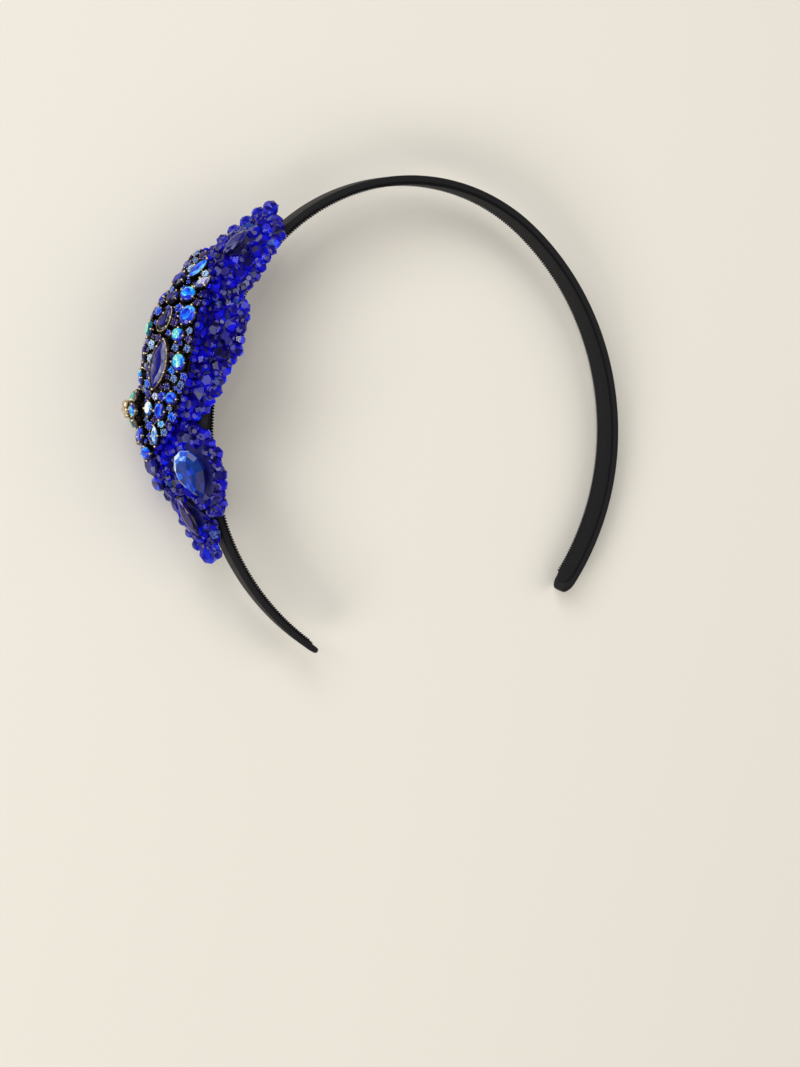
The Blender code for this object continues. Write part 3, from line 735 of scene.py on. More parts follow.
def two_sided(side: Sequence[Place], ends: Place, rear_share: float) -> list[Place]:
    """Return a whole outline from one side's rows and the two end points on the ridge."""
    rear = [(along, -across * rear_share) for along, across in side]
    return [(ends[0], 0.0)] + rear + [(ends[1], 0.0)] + list(side)[::-1]


TOP_PETAL = (
    (38.8, 0.0), (41.4, -3.4), (47.0, -6.8), (53.0, -9.4), (59.5, -12.8), (63.8, -13.6), (69.5, -8.0),
    (73.4, 0.0), (69.7, 8.6), (64.3, 16.0), (59.6, 16.8), (53.0, 15.6), (45.6, 12.6), (39.8, 8.6),
    (37.6, 4.0),
)
BOTTOM_PETAL = (
    (124.9, 0.0), (127.3, -3.0), (131.4, -6.2), (135.2, -6.4), (138.5, -5.4), (142.3, -3.2),
    (144.6, 0.0), (144.8, 4.2), (142.0, 7.4), (138.6, 9.2), (135.2, 9.0), (131.4, 7.3), (127.3, 3.5),
)
UPPER_PETAL = (
    (75.0, 1.0), (89.0, 0.7), (102.8, 1.2), (103.7, 8.6), (103.8, 12.4), (101.4, 15.4), (97.0, 18.2),
    (91.0, 20.4), (86.0, 21.8), (80.0, 22.5), (72.5, 21.5), (68.0, 19.6), (65.0, 17.2), (70.4, 9.0),
)
LOWER_PETAL = (
    (104.8, 1.2), (114.0, 0.7), (123.4, 1.2), (126.6, 4.4), (131.0, 9.0), (134.0, 11.0), (133.4, 13.6),
    (129.6, 16.6), (122.5, 20.2), (116.0, 20.9), (110.0, 18.9), (106.6, 15.5), (105.2, 11.8),
    (104.8, 6.4),
)
BACKING_SIDE = (
    (41.0, 3.4), (46.0, 6.4), (54.0, 10.0), (62.0, 12.4), (80.0, 14.6), (94.0, 14.8), (110.0, 13.4),
    (122.0, 11.4), (130.0, 8.8), (137.0, 6.2), (142.0, 3.6),
)
PLATE_SIDE = (
    (60.0, 5.4), (63.4, 8.6), (68.0, 10.0), (73.0, 11.8), (79.0, 12.8), (86.0, 14.0), (92.0, 14.0),
    (98.5, 12.8), (103.4, 11.0), (110.0, 6.8),
)
REAR_SHARE = 0.92
BACKING_REAR_SHARE = 1.15
PETAL_THICKNESS = 3.6
PETAL_CROWN = 0.5
GAP = 0.3
BACKING_SINK = 0.35
SEAT_MARGIN = 0.70
PLATE_THICKNESS = 1.0
PLATE_BELOW_STONES = 2.4
HIDDEN_DEPTH = 5.0
BARE_SIDE = 9.0


# Finishes


@dataclass(frozen=True)
class SatinFinish:
    """Black satin: a soft brushed sheen, faint cross wrinkles and a fine weave."""

    colour: Colour = (0.011, 0.011, 0.012)
    sheen_colour: Colour = (0.50, 0.47, 0.44)

    def material(self) -> Material:
        """Build the material.

        Returns:
            The material.
        """
        graph = ShaderGraph("black_satin", self.colour)
        wrinkles = graph.noise(430.0, 2.0, 0.5, graph.along_strip(0.22))
        slub = graph.noise(2400.0, 2.0, 0.6)
        fine = graph.weave("DIAGONAL", graph.place(), 1500.0, 1.2)
        graph.bump(wrinkles * 0.75 + fine * 0.10 + slub * 0.15, 0.55, 0.0006)
        tone = graph.mix(slub, self.colour, tuple(part * 1.7 for part in self.colour))
        rough = wrinkles * 0.10 + 0.44
        return graph.settle(
            Base_Color=tone, Roughness=rough, Specular_IOR_Level=0.05, Sheen_Weight=0.035,
            Sheen_Roughness=0.35, Sheen_Tint=self.sheen_colour,
        )


@dataclass(frozen=True)
class RibbonFinish:
    """Ribbed black ribbon."""

    colour: Colour = (0.003, 0.003, 0.004)
    ribs: float = 500.0

    def material(self) -> Material:
        """Build the material.

        Returns:
            The material.
        """
        graph = ShaderGraph("black_ribbon", self.colour)
        ribs = graph.weave("X", graph.along_strip(1.0), self.ribs, 0.6)
        fluff = graph.noise(3000.0, 3.0, 0.6)
        graph.bump(ribs * 0.6 + fluff * 0.4, 0.6, 0.00015)
        tone = graph.mix(fluff, self.colour, tuple(part * 2.2 for part in self.colour))
        rough = fluff * 0.1 + 0.72
        return graph.settle(Base_Color=tone, Roughness=rough, Sheen_Weight=0.03, Specular_IOR_Level=0.15)


@dataclass(frozen=True)
class FeltFinish:
    """Matted black felt."""

    colour: Colour = (0.007, 0.007, 0.009)

    def material(self) -> Material:
        """Build the material.

        Returns:
            The material.
        """
        graph = ShaderGraph("black_felt", self.colour)
        fluff = graph.noise(1800.0, 5.0, 0.7)
        graph.bump(fluff, 0.8, 0.0003)
        tone = graph.mix(fluff, self.colour, tuple(part * 2.4 for part in self.colour))
        return graph.settle(Base_Color=tone, Roughness=0.95, Sheen_Weight=0.08, Specular_IOR_Level=0.2)


@dataclass(frozen=True)
class OrganzaFinish:
    """Dark blue organza stiffened over a core, which shows between the beads and at the petals' edges. Its
    dark ground colour is partly the organza's own and partly painted shade for the gaps between the beads.
    """

    colour: Colour = (0.002, 0.001, 0.060)
    light: Colour = (0.003, 0.004, 0.300)

    def material(self) -> Material:
        """Build the material.

        Returns:
            The material.
        """
        graph = ShaderGraph("blue_organza", self.colour)
        fine = graph.weave("DIAGONAL", graph.place(), 900.0, 2.0, 2.0)
        cloud = graph.noise(420.0, 3.0, 0.6)
        graph.bump(fine * 0.5 + cloud * 0.5, 0.4, 0.0002)
        tone = graph.mix(cloud * fine, self.colour, self.light)
        return graph.settle(Base_Color=tone, Roughness=0.5, Sheen_Weight=0.12, Sheen_Tint=(0.10, 0.16, 0.9))


@dataclass(frozen=True)
class GlassFinish:
    """Cut glass over a dark ground, drawn opaque: each facet returns its own tone of the glass's colour, a
    painted light and shade that stands for the light through and inside the glass.

    The stops run from the darkest facet to the brightest, whose palest tones are painted highlights. Film
    is the thickness of an iridescent coat in nanometres, or 0. A scattered glass gives its facets their
    tones by chance, as beads need that lie every way round, with a painted shine on the side away from the
    window and a painted grey reflection of the window on some flat tops. Another keeps the tones that its
    stone was cut with, which on the larger stones paint one side bright and the other dark. The painted
    glow is light that the glass emits in its own tone, though it is no lamp.
    """

    name: str
    slot: str
    stops: tuple[tuple[float, Colour], ...]
    film: float = 0.0
    roughness: float = 0.03
    # the strength of the painted glow that the glass emits
    painted_glow: float = 0.0
    scattered: bool = False
    coat: float = 0.2
    # the colour of the painted reflection of the window on the beads' flat tops
    painted_reflection: Colour = (0.105, 0.105, 0.235)
    # the way that the facets with the painted shine face, away from the window
    painted_shine_way: Colour = (0.78, -0.55, -0.30)

    def material(self) -> Material:
        """Build the material.

        Returns:
            The material.
        """
        graph = ShaderGraph(self.name, self.stops[len(self.stops) // 2][1])
        facet = graph.attribute("facet")
        tint = graph.attribute("tint")
        inputs = {"X": facet * 37.0, "Y": tint * 91.0, "Z": facet * 5.0}
        inputs = {"Vector": graph.node("ShaderNodeCombineXYZ", {}, inputs).outputs[0]}
        chance = graph.node("ShaderNodeTexWhiteNoise", {"noise_dimensions": "3D"}, inputs)
        draw = Value(graph, chance.outputs["Value"])
        cloud = graph.noise(700.0, 2.0, 0.5)
        if self.scattered:
            drift = graph.noise(140.0, 2.0, 0.5)
            # painted shine: facets that face away from the window are painted lighter, as light through the
            # bead would make them
            painted_shine = graph.facing(self.painted_shine_way) * 0.20 + 0.14
            level = draw * 0.40 + tint * 0.14 + (drift - 0.33) * 0.80 + painted_shine + (cloud - 0.5) * 0.16
            # painted reflection: a grey reflection of the window on the flat tops of some beads
            painted_reflection = (facet > 1.0) * (tint > 0.64) * 0.60
            tone = graph.mix(painted_reflection, graph.ramp(level, self.stops), self.painted_reflection)
        else:
            level = facet + (draw - 0.5) * 0.10 + (tint - 0.5) * 0.22 + (cloud - 0.5) * 0.30
            tone = graph.ramp(level, self.stops)
        scuffs = graph.noise(2500.0, 3.0, 0.6)
        material = graph.settle(
            Base_Color=tone, Roughness=self.roughness + scuffs * 0.05, IOR=1.45 if self.scattered else 1.55,
            Specular_IOR_Level=0.35, Coat_Weight=self.coat, Coat_Roughness=0.03,
        )
        if self.film:
            graph.settle(Thin_Film_Thickness=self.film, Thin_Film_IOR=2.0)
        # painted glow: the glass emits light in its own tone, though it is no lamp
        if self.painted_glow:
            graph.settle(Emission_Color=tone, Emission_Strength=self.painted_glow)
        return material


@dataclass(frozen=True)
class MetalFinish:
    """Plated metal that is bright in some patches and dark with age in others, the patches falling by
    chance.
    """

    name: str
    bright: Colour
    dark: Colour
    roughness: float = 0.24
    age: float = 0.5

    def material(self) -> Material:
        """Build the material.

        Returns:
            The material.
        """
        graph = ShaderGraph(self.name, self.bright)
        wear = graph.noise(900.0, 4.0, 0.65)
        grain = graph.noise(5000.0, 2.0, 0.5)
        aged = graph.ramp(wear, ((self.age - 0.12, (1.0, 1.0, 1.0)), (self.age + 0.12, (0.0, 0.0, 0.0))))
        tone = graph.mix(aged, self.bright, self.dark)
        graph.bump(grain, 0.25, 0.00006)
        return graph.settle(Base_Color=tone, Metallic=1.0, Roughness=self.roughness + wear * 0.22)


@dataclass(frozen=True)
class FloorFinish:
    """The plain pale floor."""

    colour: Colour = (0.80, 0.76, 0.68)

    def material(self) -> Material:
        """Build the material.

        Returns:
            The material.
        """
        graph = ShaderGraph("pale_floor", self.colour)
        cloud = graph.noise(3.0, 2.0, 0.5)
        tone = graph.mix(cloud, self.colour, tuple(part * 0.985 for part in self.colour))
        return graph.settle(Base_Color=tone, Roughness=0.95, Specular_IOR_Level=0.1)


# The cobalt beads' facet tones, dark to bright: painted light and shade that stand for light through the
# glass.
BEAD_STOPS = (
    (0.14, (0.001, 0.001, 0.016)), (0.34, (0.003, 0.001, 0.080)), (0.50, (0.005, 0.002, 0.230)),
    (0.66, (0.004, 0.003, 0.540)), (0.80, (0.002, 0.007, 0.900)), (0.98, (0.006, 0.100, 0.950)),
)


class Glass(Enum):
    """The glass colours of beads and stones."""

    BEAD = GlassFinish(
        "cobalt_bead_glass", "cobalt_bead", BEAD_STOPS, roughness=0.06, painted_glow=0.16, scattered=True, coat=0.0
    )
    PALE_BEAD = GlassFinish("light_blue_bead_glass", "cobalt_bead", (
        (0.1, (0.004, 0.010, 0.11)), (0.4, (0.012, 0.040, 0.28)), (0.7, (0.05, 0.13, 0.50)),
        (1.0, (0.24, 0.36, 0.60)),
    ), roughness=0.10, scattered=True, coat=0.0)
    RIM_BEAD = GlassFinish("rim_bead_glass", "cobalt_bead", (
        (0.10, (0.003, 0.002, 0.06)), (0.30, (0.006, 0.004, 0.19)), (0.50, (0.008, 0.008, 0.40)),
        (0.72, (0.010, 0.030, 0.66)), (0.95, (0.060, 0.16, 0.80)),
    ), roughness=0.06, painted_glow=0.14, scattered=True, coat=0.0)
    SAPPHIRE = GlassFinish("sapphire_stone", "sapphire", (
        (0.05, (0.002, 0.002, 0.05)), (0.35, (0.004, 0.004, 0.24)), (0.62, (0.004, 0.016, 0.62)),
        (0.85, (0.008, 0.09, 0.90)), (1.0, (0.20, 0.32, 0.90)),
    ), painted_glow=0.06)
    DEEP = GlassFinish("deep_sapphire_stone", "deep_sapphire", (
        (0.05, (0.002, 0.002, 0.016)), (0.40, (0.003, 0.002, 0.080)), (0.66, (0.005, 0.004, 0.26)),
        (0.86, (0.010, 0.015, 0.40)), (1.0, (0.20, 0.20, 0.42)),
    ))
    BRIGHT = GlassFinish("bright_sapphire_stone", "bright_sapphire", (
        (0.05, (0.003, 0.003, 0.14)), (0.3, (0.004, 0.014, 0.46)), (0.6, (0.005, 0.060, 0.72)),
        (0.82, (0.006, 0.22, 0.90)), (1.0, (0.16, 0.56, 0.95)),
    ), painted_glow=0.26)
    MONTANA = GlassFinish("montana_stone", "montana", (
        (0.05, (0.002, 0.003, 0.070)), (0.25, (0.002, 0.010, 0.180)), (0.45, (0.004, 0.030, 0.150)),
        (0.60, (0.003, 0.036, 0.520)), (0.74, (0.006, 0.160, 0.760)), (0.86, (0.72, 0.86, 0.90)),
    ), roughness=0.02, painted_glow=0.16, coat=0.0)
    VIOLET = GlassFinish("violet_blue_stone", "violet_blue", (
        (0.05, (0.004, 0.002, 0.020)), (0.4, (0.013, 0.003, 0.075)), (0.7, (0.020, 0.005, 0.20)),
        (1.0, (0.10, 0.07, 0.26)),
    ))
    RAINBOW_BLUE = GlassFinish("rainbow_blue_stone", "rainbow_blue", (
        (0.05, (0.004, 0.010, 0.30)), (0.28, (0.006, 0.06, 0.62)), (0.50, (0.010, 0.22, 0.80)),
        (0.70, (0.03, 0.42, 0.62)), (0.88, (0.16, 0.60, 0.42)), (1.0, (0.62, 0.85, 0.80)),
    ), painted_glow=0.26)
    CYAN = GlassFinish("cyan_stone", "rainbow_blue", (
        (0.05, (0.004, 0.010, 0.36)), (0.3, (0.004, 0.06, 0.80)), (0.55, (0.004, 0.30, 0.98)),
        (0.78, (0.02, 0.60, 0.92)), (1.0, (0.50, 0.88, 0.90)),
    ), painted_glow=0.30)
    EMERALD = GlassFinish("emerald_blue_stone", "rainbow_blue", (
        (0.05, (0.002, 0.030, 0.10)), (0.3, (0.004, 0.16, 0.17)), (0.55, (0.010, 0.44, 0.32)),
        (0.78, (0.08, 0.70, 0.48)), (1.0, (0.60, 0.92, 0.80)),
    ), painted_glow=0.20)
    SMOKE = GlassFinish("smoky_blue_stone", "deep_sapphire", (
        (0.05, (0.002, 0.001, 0.040)), (0.36, (0.003, 0.002, 0.200)), (0.58, (0.008, 0.006, 0.170)),
        (0.78, (0.060, 0.060, 0.190)), (1.0, (0.17, 0.17, 0.30)),
    ), roughness=0.05)
    CLEAR = GlassFinish("clear_stone", "rainbow_clear", (
        (0.05, (0.010, 0.030, 0.24)), (0.30, (0.05, 0.20, 0.55)), (0.55, (0.25, 0.52, 0.80)),
        (0.80, (0.70, 0.86, 0.92)), (1.0, (0.97, 0.98, 0.98)),
    ), painted_glow=0.08)
    RAINBOW_CLEAR = GlassFinish("rainbow_clear_stone", "rainbow_clear", (
        (0.05, (0.030, 0.030, 0.26)), (0.25, (0.10, 0.12, 0.50)), (0.5, (0.34, 0.36, 0.74)),
        (0.75, (0.66, 0.56, 0.84)), (1.0, (0.92, 0.94, 0.96)),
    ), film=360.0, painted_glow=0.06)
    PALE_STONE = GlassFinish("light_sapphire_stone", "sapphire", (
        (0.05, (0.008, 0.018, 0.11)), (0.35, (0.020, 0.060, 0.27)), (0.65, (0.05, 0.14, 0.42)),
        (1.0, (0.30, 0.46, 0.66)),
    ), painted_glow=0.12)


class Metal(Enum):
    """The metals of the brooch."""

    GOLD = MetalFinish("antique_gold", (0.80, 0.66, 0.46), (0.16, 0.12, 0.08), age=0.40)
    BRONZE = MetalFinish("old_bronze", (0.40, 0.32, 0.22), (0.05, 0.045, 0.04), roughness=0.30, age=0.50)
    GUNMETAL = MetalFinish("dark_gunmetal", (0.10, 0.085, 0.065), (0.012, 0.011, 0.012), 0.34, 0.62)


@cache
def dressed(finish: object) -> Material:
    """Return the material of a finish, or of the member of Glass or Metal that holds one, made once."""
    return (finish.value if isinstance(finish, Enum) else finish).material()


# Small items that are repeated


def faceted_bead(name: str, sides: int, levels: Sequence[Place], seed: int, twisted: bool = True,
                 top: float = 1.0) -> Object:
    """Make a cut bead of radius 1.

    Args:
        name: The item's name.
        sides: The facets in a ring.
        levels: The rings' heights and radii.
        seed: The seed of the facets' tones.
        twisted: Whether each ring is turned by half a facet against the next.
        top: What the flat top adds to its facet's number, which marks it for the painted reflection.

    Returns:
        The item, out of the render.
    """
    shifts = [0.5 * (row % 2) * twisted for row in range(len(levels))]
    points: list[Vector] = []
    faces: Faces = [tuple(reversed(range(sides)))]
    for row, (height, radius) in enumerate(levels):
        points.extend(circle(radius, height, sides, shifts[row]))
        if row:
            faces.extend(facets((row - 1) * sides, sides, shifts[row - 1], shifts[row]))
    faces.append(tuple(range(len(points) - sides, len(points))))
    mesh = solid(points, faces)
    give_facets(mesh, top, seed)
    return link(name, mesh, shown=False)


def lathe_item(name: str, profile: Sequence[Place], sides: int, shape: Matrix = Matrix()) -> Object:
    """Make a small round item.

    Args:
        name: The item's name.
        profile: Its radii with heights.
        sides: Its number of sides.
        shape: The matrix that shapes it.

    Returns:
        The item, out of the render.
    """
    mesh = closed_tube([circle(*level, sides) for level in profile], 60.0)
    mesh.transform(shape)
    return link(name, mesh, shown=False)


@dataclass
class Spot:
    """One point that carries an item: its frame, its size on each axis and its tone."""

    frame: Matrix
    size: Triple
    tint: float


class Items:
    """The small repeated items, made once."""

    def __init__(self) -> None:
        """Make the items and the two trees that set them."""
        levels = (-0.82, 0.58), (-0.22, 1.0), (0.22, 1.0), (0.82, 0.58)
        self.round_bead = faceted_bead("round_bead", 6, levels, 3, twisted=False)
        levels = (-0.88, 0.48), (-0.34, 0.98), (0.34, 0.98), (0.88, 0.48)
        self.fine_bead = faceted_bead("fine_bead", 7, levels, 6)
        levels = (-0.85, 0.30), (-0.05, 1.0), (0.08, 1.0), (0.34, 0.84), (0.46, 0.56), (0.47, 0.20)
        self.chaton = faceted_bead("chaton", 10, levels, 7, top=0.0)
        profile = (0.80, -1.5), (1.02, -0.5), (1.14, 0.06), (0.98, 0.10), (0.5, -0.8)
        self.small_cup = lathe_item("small_cup", profile, 10)
        levels = (-0.92, 0.34), (-0.06, 1.0), (0.06, 1.0), (0.92, 0.34)
        self.bicone = faceted_bead("bicone_bead", 6, levels, 4, twisted=False)
        self.seed_bead = faceted_bead("seed_bead", 6, ((-0.70, 0.60), (0.0, 1.0), (0.70, 0.60)), 5)
        profile = (0.10, -1.0), (0.62, -0.78), (0.95, -0.30), (0.95, 0.30), (0.62, 0.78), (0.10, 1.0)
        self.ball = lathe_item("gold_ball", profile, 8)
        profile = (0.26, -0.9), (0.24, -0.5), (0.42, -0.22), (0.50, 0.10), (0.38, 0.40), (0.08, 0.52)
        self.claw = lathe_item("claw", profile, 7)
        profile = (0.02, -1.0), (0.11, -0.7), (0.14, 0.0), (0.11, 0.7), (0.02, 1.0)
        self.stitch = lathe_item("stitch", profile, 5, Matrix.Rotation(pi / 2, 4, "Y"))
        profile = (0.50, -0.35), (0.48, 0.50), (0.34, 0.95), (0.10, 1.15)
        self.picot = lathe_item("picot", profile, 6, Matrix.Diagonal((1.0, 0.45, 1.0, 1.0)))
        self.scatter = scatter_tree()
        self.row = row_tree()

    def clear(self) -> None:
        """Remove the items and the trees, which the finished meshes no longer need."""
        for item in [held for held in vars(self).values() if isinstance(held, Object)]:
            bpy.data.objects.remove(item)
        for tree in (self.scatter, self.row):
            bpy.data.node_groups.remove(tree.tree)

    def on_spots(self, name: str, spots: Sequence[Spot], item: Object, finish: object) -> Object:
        """Set an item on spots.

        Args:
            name: The name of the result.
            spots: The spots, in metres.
            item: The item.
            finish: The items' finish.

        Returns:
            The joined mesh as an object.
        """
        host = link(name + "_spots", mesh_of([spot.frame.translation for spot in spots]))
        store_ways(host.data, "turn", [spot.frame.to_euler() for spot in spots])
        store_ways(host.data, "size", [spot.size for spot in spots])
        store(host.data, "tint", [spot.tint for spot in spots])
        return self.scatter.run(host, name, {"Item": item, "Material": dressed(finish), "Scale": 1.0})

    def on_path(self, name: str, path: Sequence[Vector], out: Sequence[Vector], item: Object,
                finish: object, pitch: float, scale: float) -> Object:
        """Set an item at an even pitch along a path.

        Args:
            name: The name of the result.
            path: The path's points, in metres.
            out: The outward direction at each point, the way that the item's z axis faces.
            item: The item.
            finish: The items' finish.
            pitch: The pitch, in metres.
            scale: The item's size, in metres.

        Returns:
            The joined mesh as an object.
        """
        mesh = mesh_of(path, edges=[(number, number + 1) for number in range(len(path) - 1)])
        store_ways(mesh, "out", out)
        values = {"Item": item, "Material": dressed(finish), "Pitch": pitch, "Scale": scale, "Seed": 1.0}
        return self.row.run(link(name + "_path", mesh), name, values)


def join(name: str, pieces: Sequence[Object]) -> Object:
    """Join objects that sit at the origin into one, with their materials.

    Args:
        name: The name of the result.
        pieces: The objects.

    Returns:
        The joined object.
    """
    bm = bmesh.new()
    materials: list[Material] = []
    for piece in pieces:
        first = len(bm.faces)
        bm.from_mesh(piece.data)
        bm.faces.ensure_lookup_table()
        own = [slot.material for slot in piece.material_slots]
        for face in bm.faces[first:]:
            material = own[face.material_index]
            if material not in materials:
                materials.append(material)
            face.material_index = materials.index(material)
    mesh = bpy.data.meshes.new(name)
    bm.to_mesh(mesh)
    bm.free()
    for material in materials:
        mesh.materials.append(material)
    for piece in pieces:
        bpy.data.objects.remove(piece)
    return link(name, mesh)


# Pads, petals and beads


PadTop = Callable[[float, float, float], float]


@dataclass(frozen=True)
class Pad:
    """A closed pad between two height functions, whose rim follows an outline and is rounded."""

    outline: Outline
    top: PadTop
    bottom: Surface
    inset: float = 0.0

    def place(self, share_out: float, share_round: float, level: float) -> Vector:
        """Find a point of the pad.

        Args:
            share_out: 0 at the middle, 1 at the rim.
            share_round: The share of the way round.
            level: From 1 on the upper face to -1 on the lower one.

        Returns:
            The point.
        """
        spoke = np.array(self.outline.at(share_round)) - self.outline.middle
        reach = max(0.1, 1.0 - self.inset / float(np.linalg.norm(spoke)))
        along, across = self.outline.middle + spoke * share_out * reach
        swell = copysign(sqrt(abs(level)), level)
        return LINE.point(along, across, self.level(along, across, share_out, swell))

    def level(self, along: float, across: float, share_out: float, swell: float) -> float:
        """Return a height between the faces, from 1 at the upper one to -1 at the lower one."""
        high, low = self.top(along, across, share_out), self.bottom(along, across)
        return (high + low) / 2 + (high - low) / 2 * swell

    def envelope(self, along: float, across: float, side: float = 1.0) -> float:
        """Return the height of the pad's upper face at a place, or of its lower one for a side of -1."""
        share = min(1.0, self.outline.share_out(along, across))
        return self.level(along, across, share, side * (1.0 - share**2) ** 0.25)

    def mesh(self, around: int, rings: int) -> Mesh:
        """Build the closed mesh.

        Args:
            around: The points round the rim.
            rings: The rings from one face's middle to the other's.

        Returns:
            The mesh, shaded smooth.
        """
        points: list[Vector] = []
        for angle in (pi * ring / rings for ring in range(1, rings)):
            points.extend(self.place(sin(angle), step / around, cos(angle)) for step in range(around))
        faces = ring_faces(rings - 1, around)
        for level, first in ((1.0, 0), (-1.0, (rings - 2) * around)):
            faces.extend((first + step, first + (step + 1) % around, len(points)) for step in range(around))
            points.append(self.place(0.0, 0.0, level))
        mesh = solid(points, faces)
        mesh.shade_smooth()
        return mesh


def signed_distance(line: np.ndarray, along: float, across: float) -> float:
    """Return a place's distance inside a closed line, negative outside it.

    Args:
        line: The line's points.
        along: The place.
        across: The place.

    Returns:
        The distance in mm.
    """
    first, after = line, np.roll(line, -1, axis=0)
    span = after - first
    to_place = np.array((along, across)) - first
    length = np.maximum((span * span).sum(axis=1), 1e-12)
    share = np.clip((to_place * span).sum(axis=1) / length, 0.0, 1.0)
    away = float(np.min(np.linalg.norm(to_place - span * share[:, None], axis=1)))
    rises = (first[:, 1] > across) != (after[:, 1] > across)
    rise = np.where(span[:, 1] == 0, 1e-9, span[:, 1])
    crossing = first[:, 0] + (across - first[:, 1]) * span[:, 0] / rise
    inside = int(np.sum(rises & (along < crossing))) % 2 == 1
    return away if inside else -away


# Cut stones and their settings


# The cut stones' facet tones: a painted light and shade, in which one side of a stone is bright and the
# other dark, with a little chance on each facet.
MIDDLE_TONE = 0.45
PAINTED_SIDE_TONE = 0.60
TONE_CHANCE = 0.18
TABLE_FACING = 0.97


class Cut(Enum):
    """The outlines that stones are cut to."""

    OVAL = "oval"
    NAVETTE = "navette"
    PEAR = "pear"
    OCTAGON = "octagon"

    def reach(self, share: float) -> Place:
        """Find a point of the girdle.

        Args:
            share: The share of the way round.

        Returns:
            The point, in half lengths and half widths.
        """
        turn = share * tau
        x, y = cos(turn), sin(turn)
        if self is Cut.NAVETTE:
            return x, y * abs(y) ** 0.55
        if self is Cut.PEAR:
            return x, y * (1.0 - 0.55 * (0.5 * (1.0 + x)) ** 2)
        if self is Cut.OCTAGON:
            corner = 1.0 / max(abs(x), abs(y), (abs(x) + abs(y)) / 1.5)
            return x * corner, y * corner
        return x, y


@dataclass(frozen=True)
class Stone:
    """A cut stone: its place and size on the flower in mm, its glass, its cut and its turn in degrees.

    Sunk is how deep it sits between beads, bright the bearing of the side that its facets are painted
    bright on, a painted light, and table the tone of its table where that is above 0. Lean turns its face
    towards the front edge of the band.
    """

    node: str
    along: float
    across: float
    length: float
    width: float
    glass: Glass
    cut: Cut = Cut.OVAL
    turn: float = 0.0
    sunk: float = 0.0
    bright: float = 225.0
    table: float = -1.0
    lean: float = 0.0

    def girdle(self, surface: Surface, sides: int = 28) -> np.ndarray:
        """Find the girdle in along and across.

        Args:
            surface: The surface that the stone sits on.
            sides: The number of points.

        Returns:
            The girdle's points.
        """
        slope = surface(self.along, self.across + 0.5) - surface(self.along, self.across - 0.5)
        sine, cosine = sin(radians(self.turn)), cos(radians(self.turn))
        rows = []
        for x, y in (self.reach(side / sides) for side in range(sides)):
            aside = (x * sine + y * cosine) / hypot(1.0, slope)
            rows.append((self.along + (x * cosine - y * sine), self.across + aside))
        return np.array(rows)

    def reach(self, share: float, more: float = 0.0) -> Place:
        """Return a point of the girdle in the stone's own frame, or some way outside it, in mm."""
        x, y = self.cut.reach(share)
        return x * (self.length / 2 + more), y * (self.width / 2 + more)


@dataclass(frozen=True)
class SetStone:
    """A stone in its place: its depth in mm, the frame of its back and the seed of its facets."""

    stone: Stone
    depth: float
    seat: Matrix
    seed: int

    def at(self, x: float, y: float, height: float) -> Vector:
        """Return a place in metres that is given in mm in the stone's own frame."""
        return self.seat @ (Vector((x, y, height)) * MM)

    def grade(self, mesh: Mesh) -> None:
        """Store a tone on each facet, a painted light and shade: one side of the stone is painted bright
        and the other dark.

        Args:
            mesh: The stone's mesh.
        """
        draw = Random(self.seed)
        to_stone = self.seat.inverted()
        half_length, half_width = self.stone.length / 2 * MM, self.stone.width / 2 * MM
        # painted light: the facets towards this bearing are painted bright, those away from it dark; the
        # table's facets take the other bearing
        bright = radians(self.stone.bright - self.stone.turn + draw.uniform(-35.0, 35.0))
        inner = bright + radians(draw.uniform(120.0, 220.0))
        tones = []
        for face in mesh.polygons:
            at = to_stone @ face.center
            is_top = (to_stone.to_3x3() @ face.normal).z
            bearing = inner if is_top >= TABLE_FACING else bright
            side = cos(bearing) * (at.x / half_length) + sin(bearing) * (at.y / half_width)
            tone = MIDDLE_TONE + PAINTED_SIDE_TONE * side
            if self.stone.table > 0.0 and is_top > TABLE_FACING:
                tone = self.stone.table
            tones.append(tone + draw.uniform(-TONE_CHANCE, TONE_CHANCE))
        store(mesh, "facet", tones, "FACE")
        store(mesh, "tint", [draw.random()] * len(mesh.vertices))


@dataclass(frozen=True)
class StoneCutter:
    """Cuts stones: rings of facets, each given by its share of the girdle, its level and its shift."""

    brilliant: tuple[Triple, ...] = (
        (1.0, 0.50, 0.0), (1.0, 0.60, 0.0), (0.84, 0.84, 0.5), (0.60, 1.0, 0.0), (0.30, 1.01, 0.5),
    )
    stepped: tuple[Triple, ...] = (
        (1.0, 0.50, 0.0), (1.0, 0.58, 0.0), (0.84, 0.82, 0.0), (0.66, 0.99, 0.0), (0.34, 1.01, 0.0),
    )
    large: float = 9.0

    def cut(self, held: SetStone, back_share: float) -> None:
        """Cut one stone and let it stand for its node.

        Args:
            held: The stone in its place.
            back_share: The size of its back, as a share of the girdle.
        """
        stone = held.stone
        step_cut = stone.cut is Cut.OCTAGON or stone.glass is Glass.MONTANA
        rings = ((back_share, 0.0, 0.0),) + (self.stepped if step_cut else self.brilliant)
        sides = 8 if stone.cut is Cut.OCTAGON else 12 if stone.length > self.large else 10
        points: list[Vector] = []
        faces: Faces = [tuple(reversed(range(sides)))]
        for row, (share, level, shift) in enumerate(rings):
            for side in range(sides):
                x, y = stone.reach((side + shift) / sides)
                points.append(held.at(x * share, y * share, level * held.depth))
            if row:
                faces.extend(facets((row - 1) * sides, sides, rings[row - 1][2], shift))
        last = (len(rings) - 1) * sides
        faces.extend((last + side, last + (side + 1) % sides, len(points)) for side in range(sides))
        points.append(held.at(0.0, 0.0, rings[-1][1] * held.depth))
        mesh = solid(points, faces)
        held.grade(mesh)
        piece = link(stone.node + "_cut", mesh, stone.glass)
        place_piece(piece, stone.glass.value.slot, stone.node)


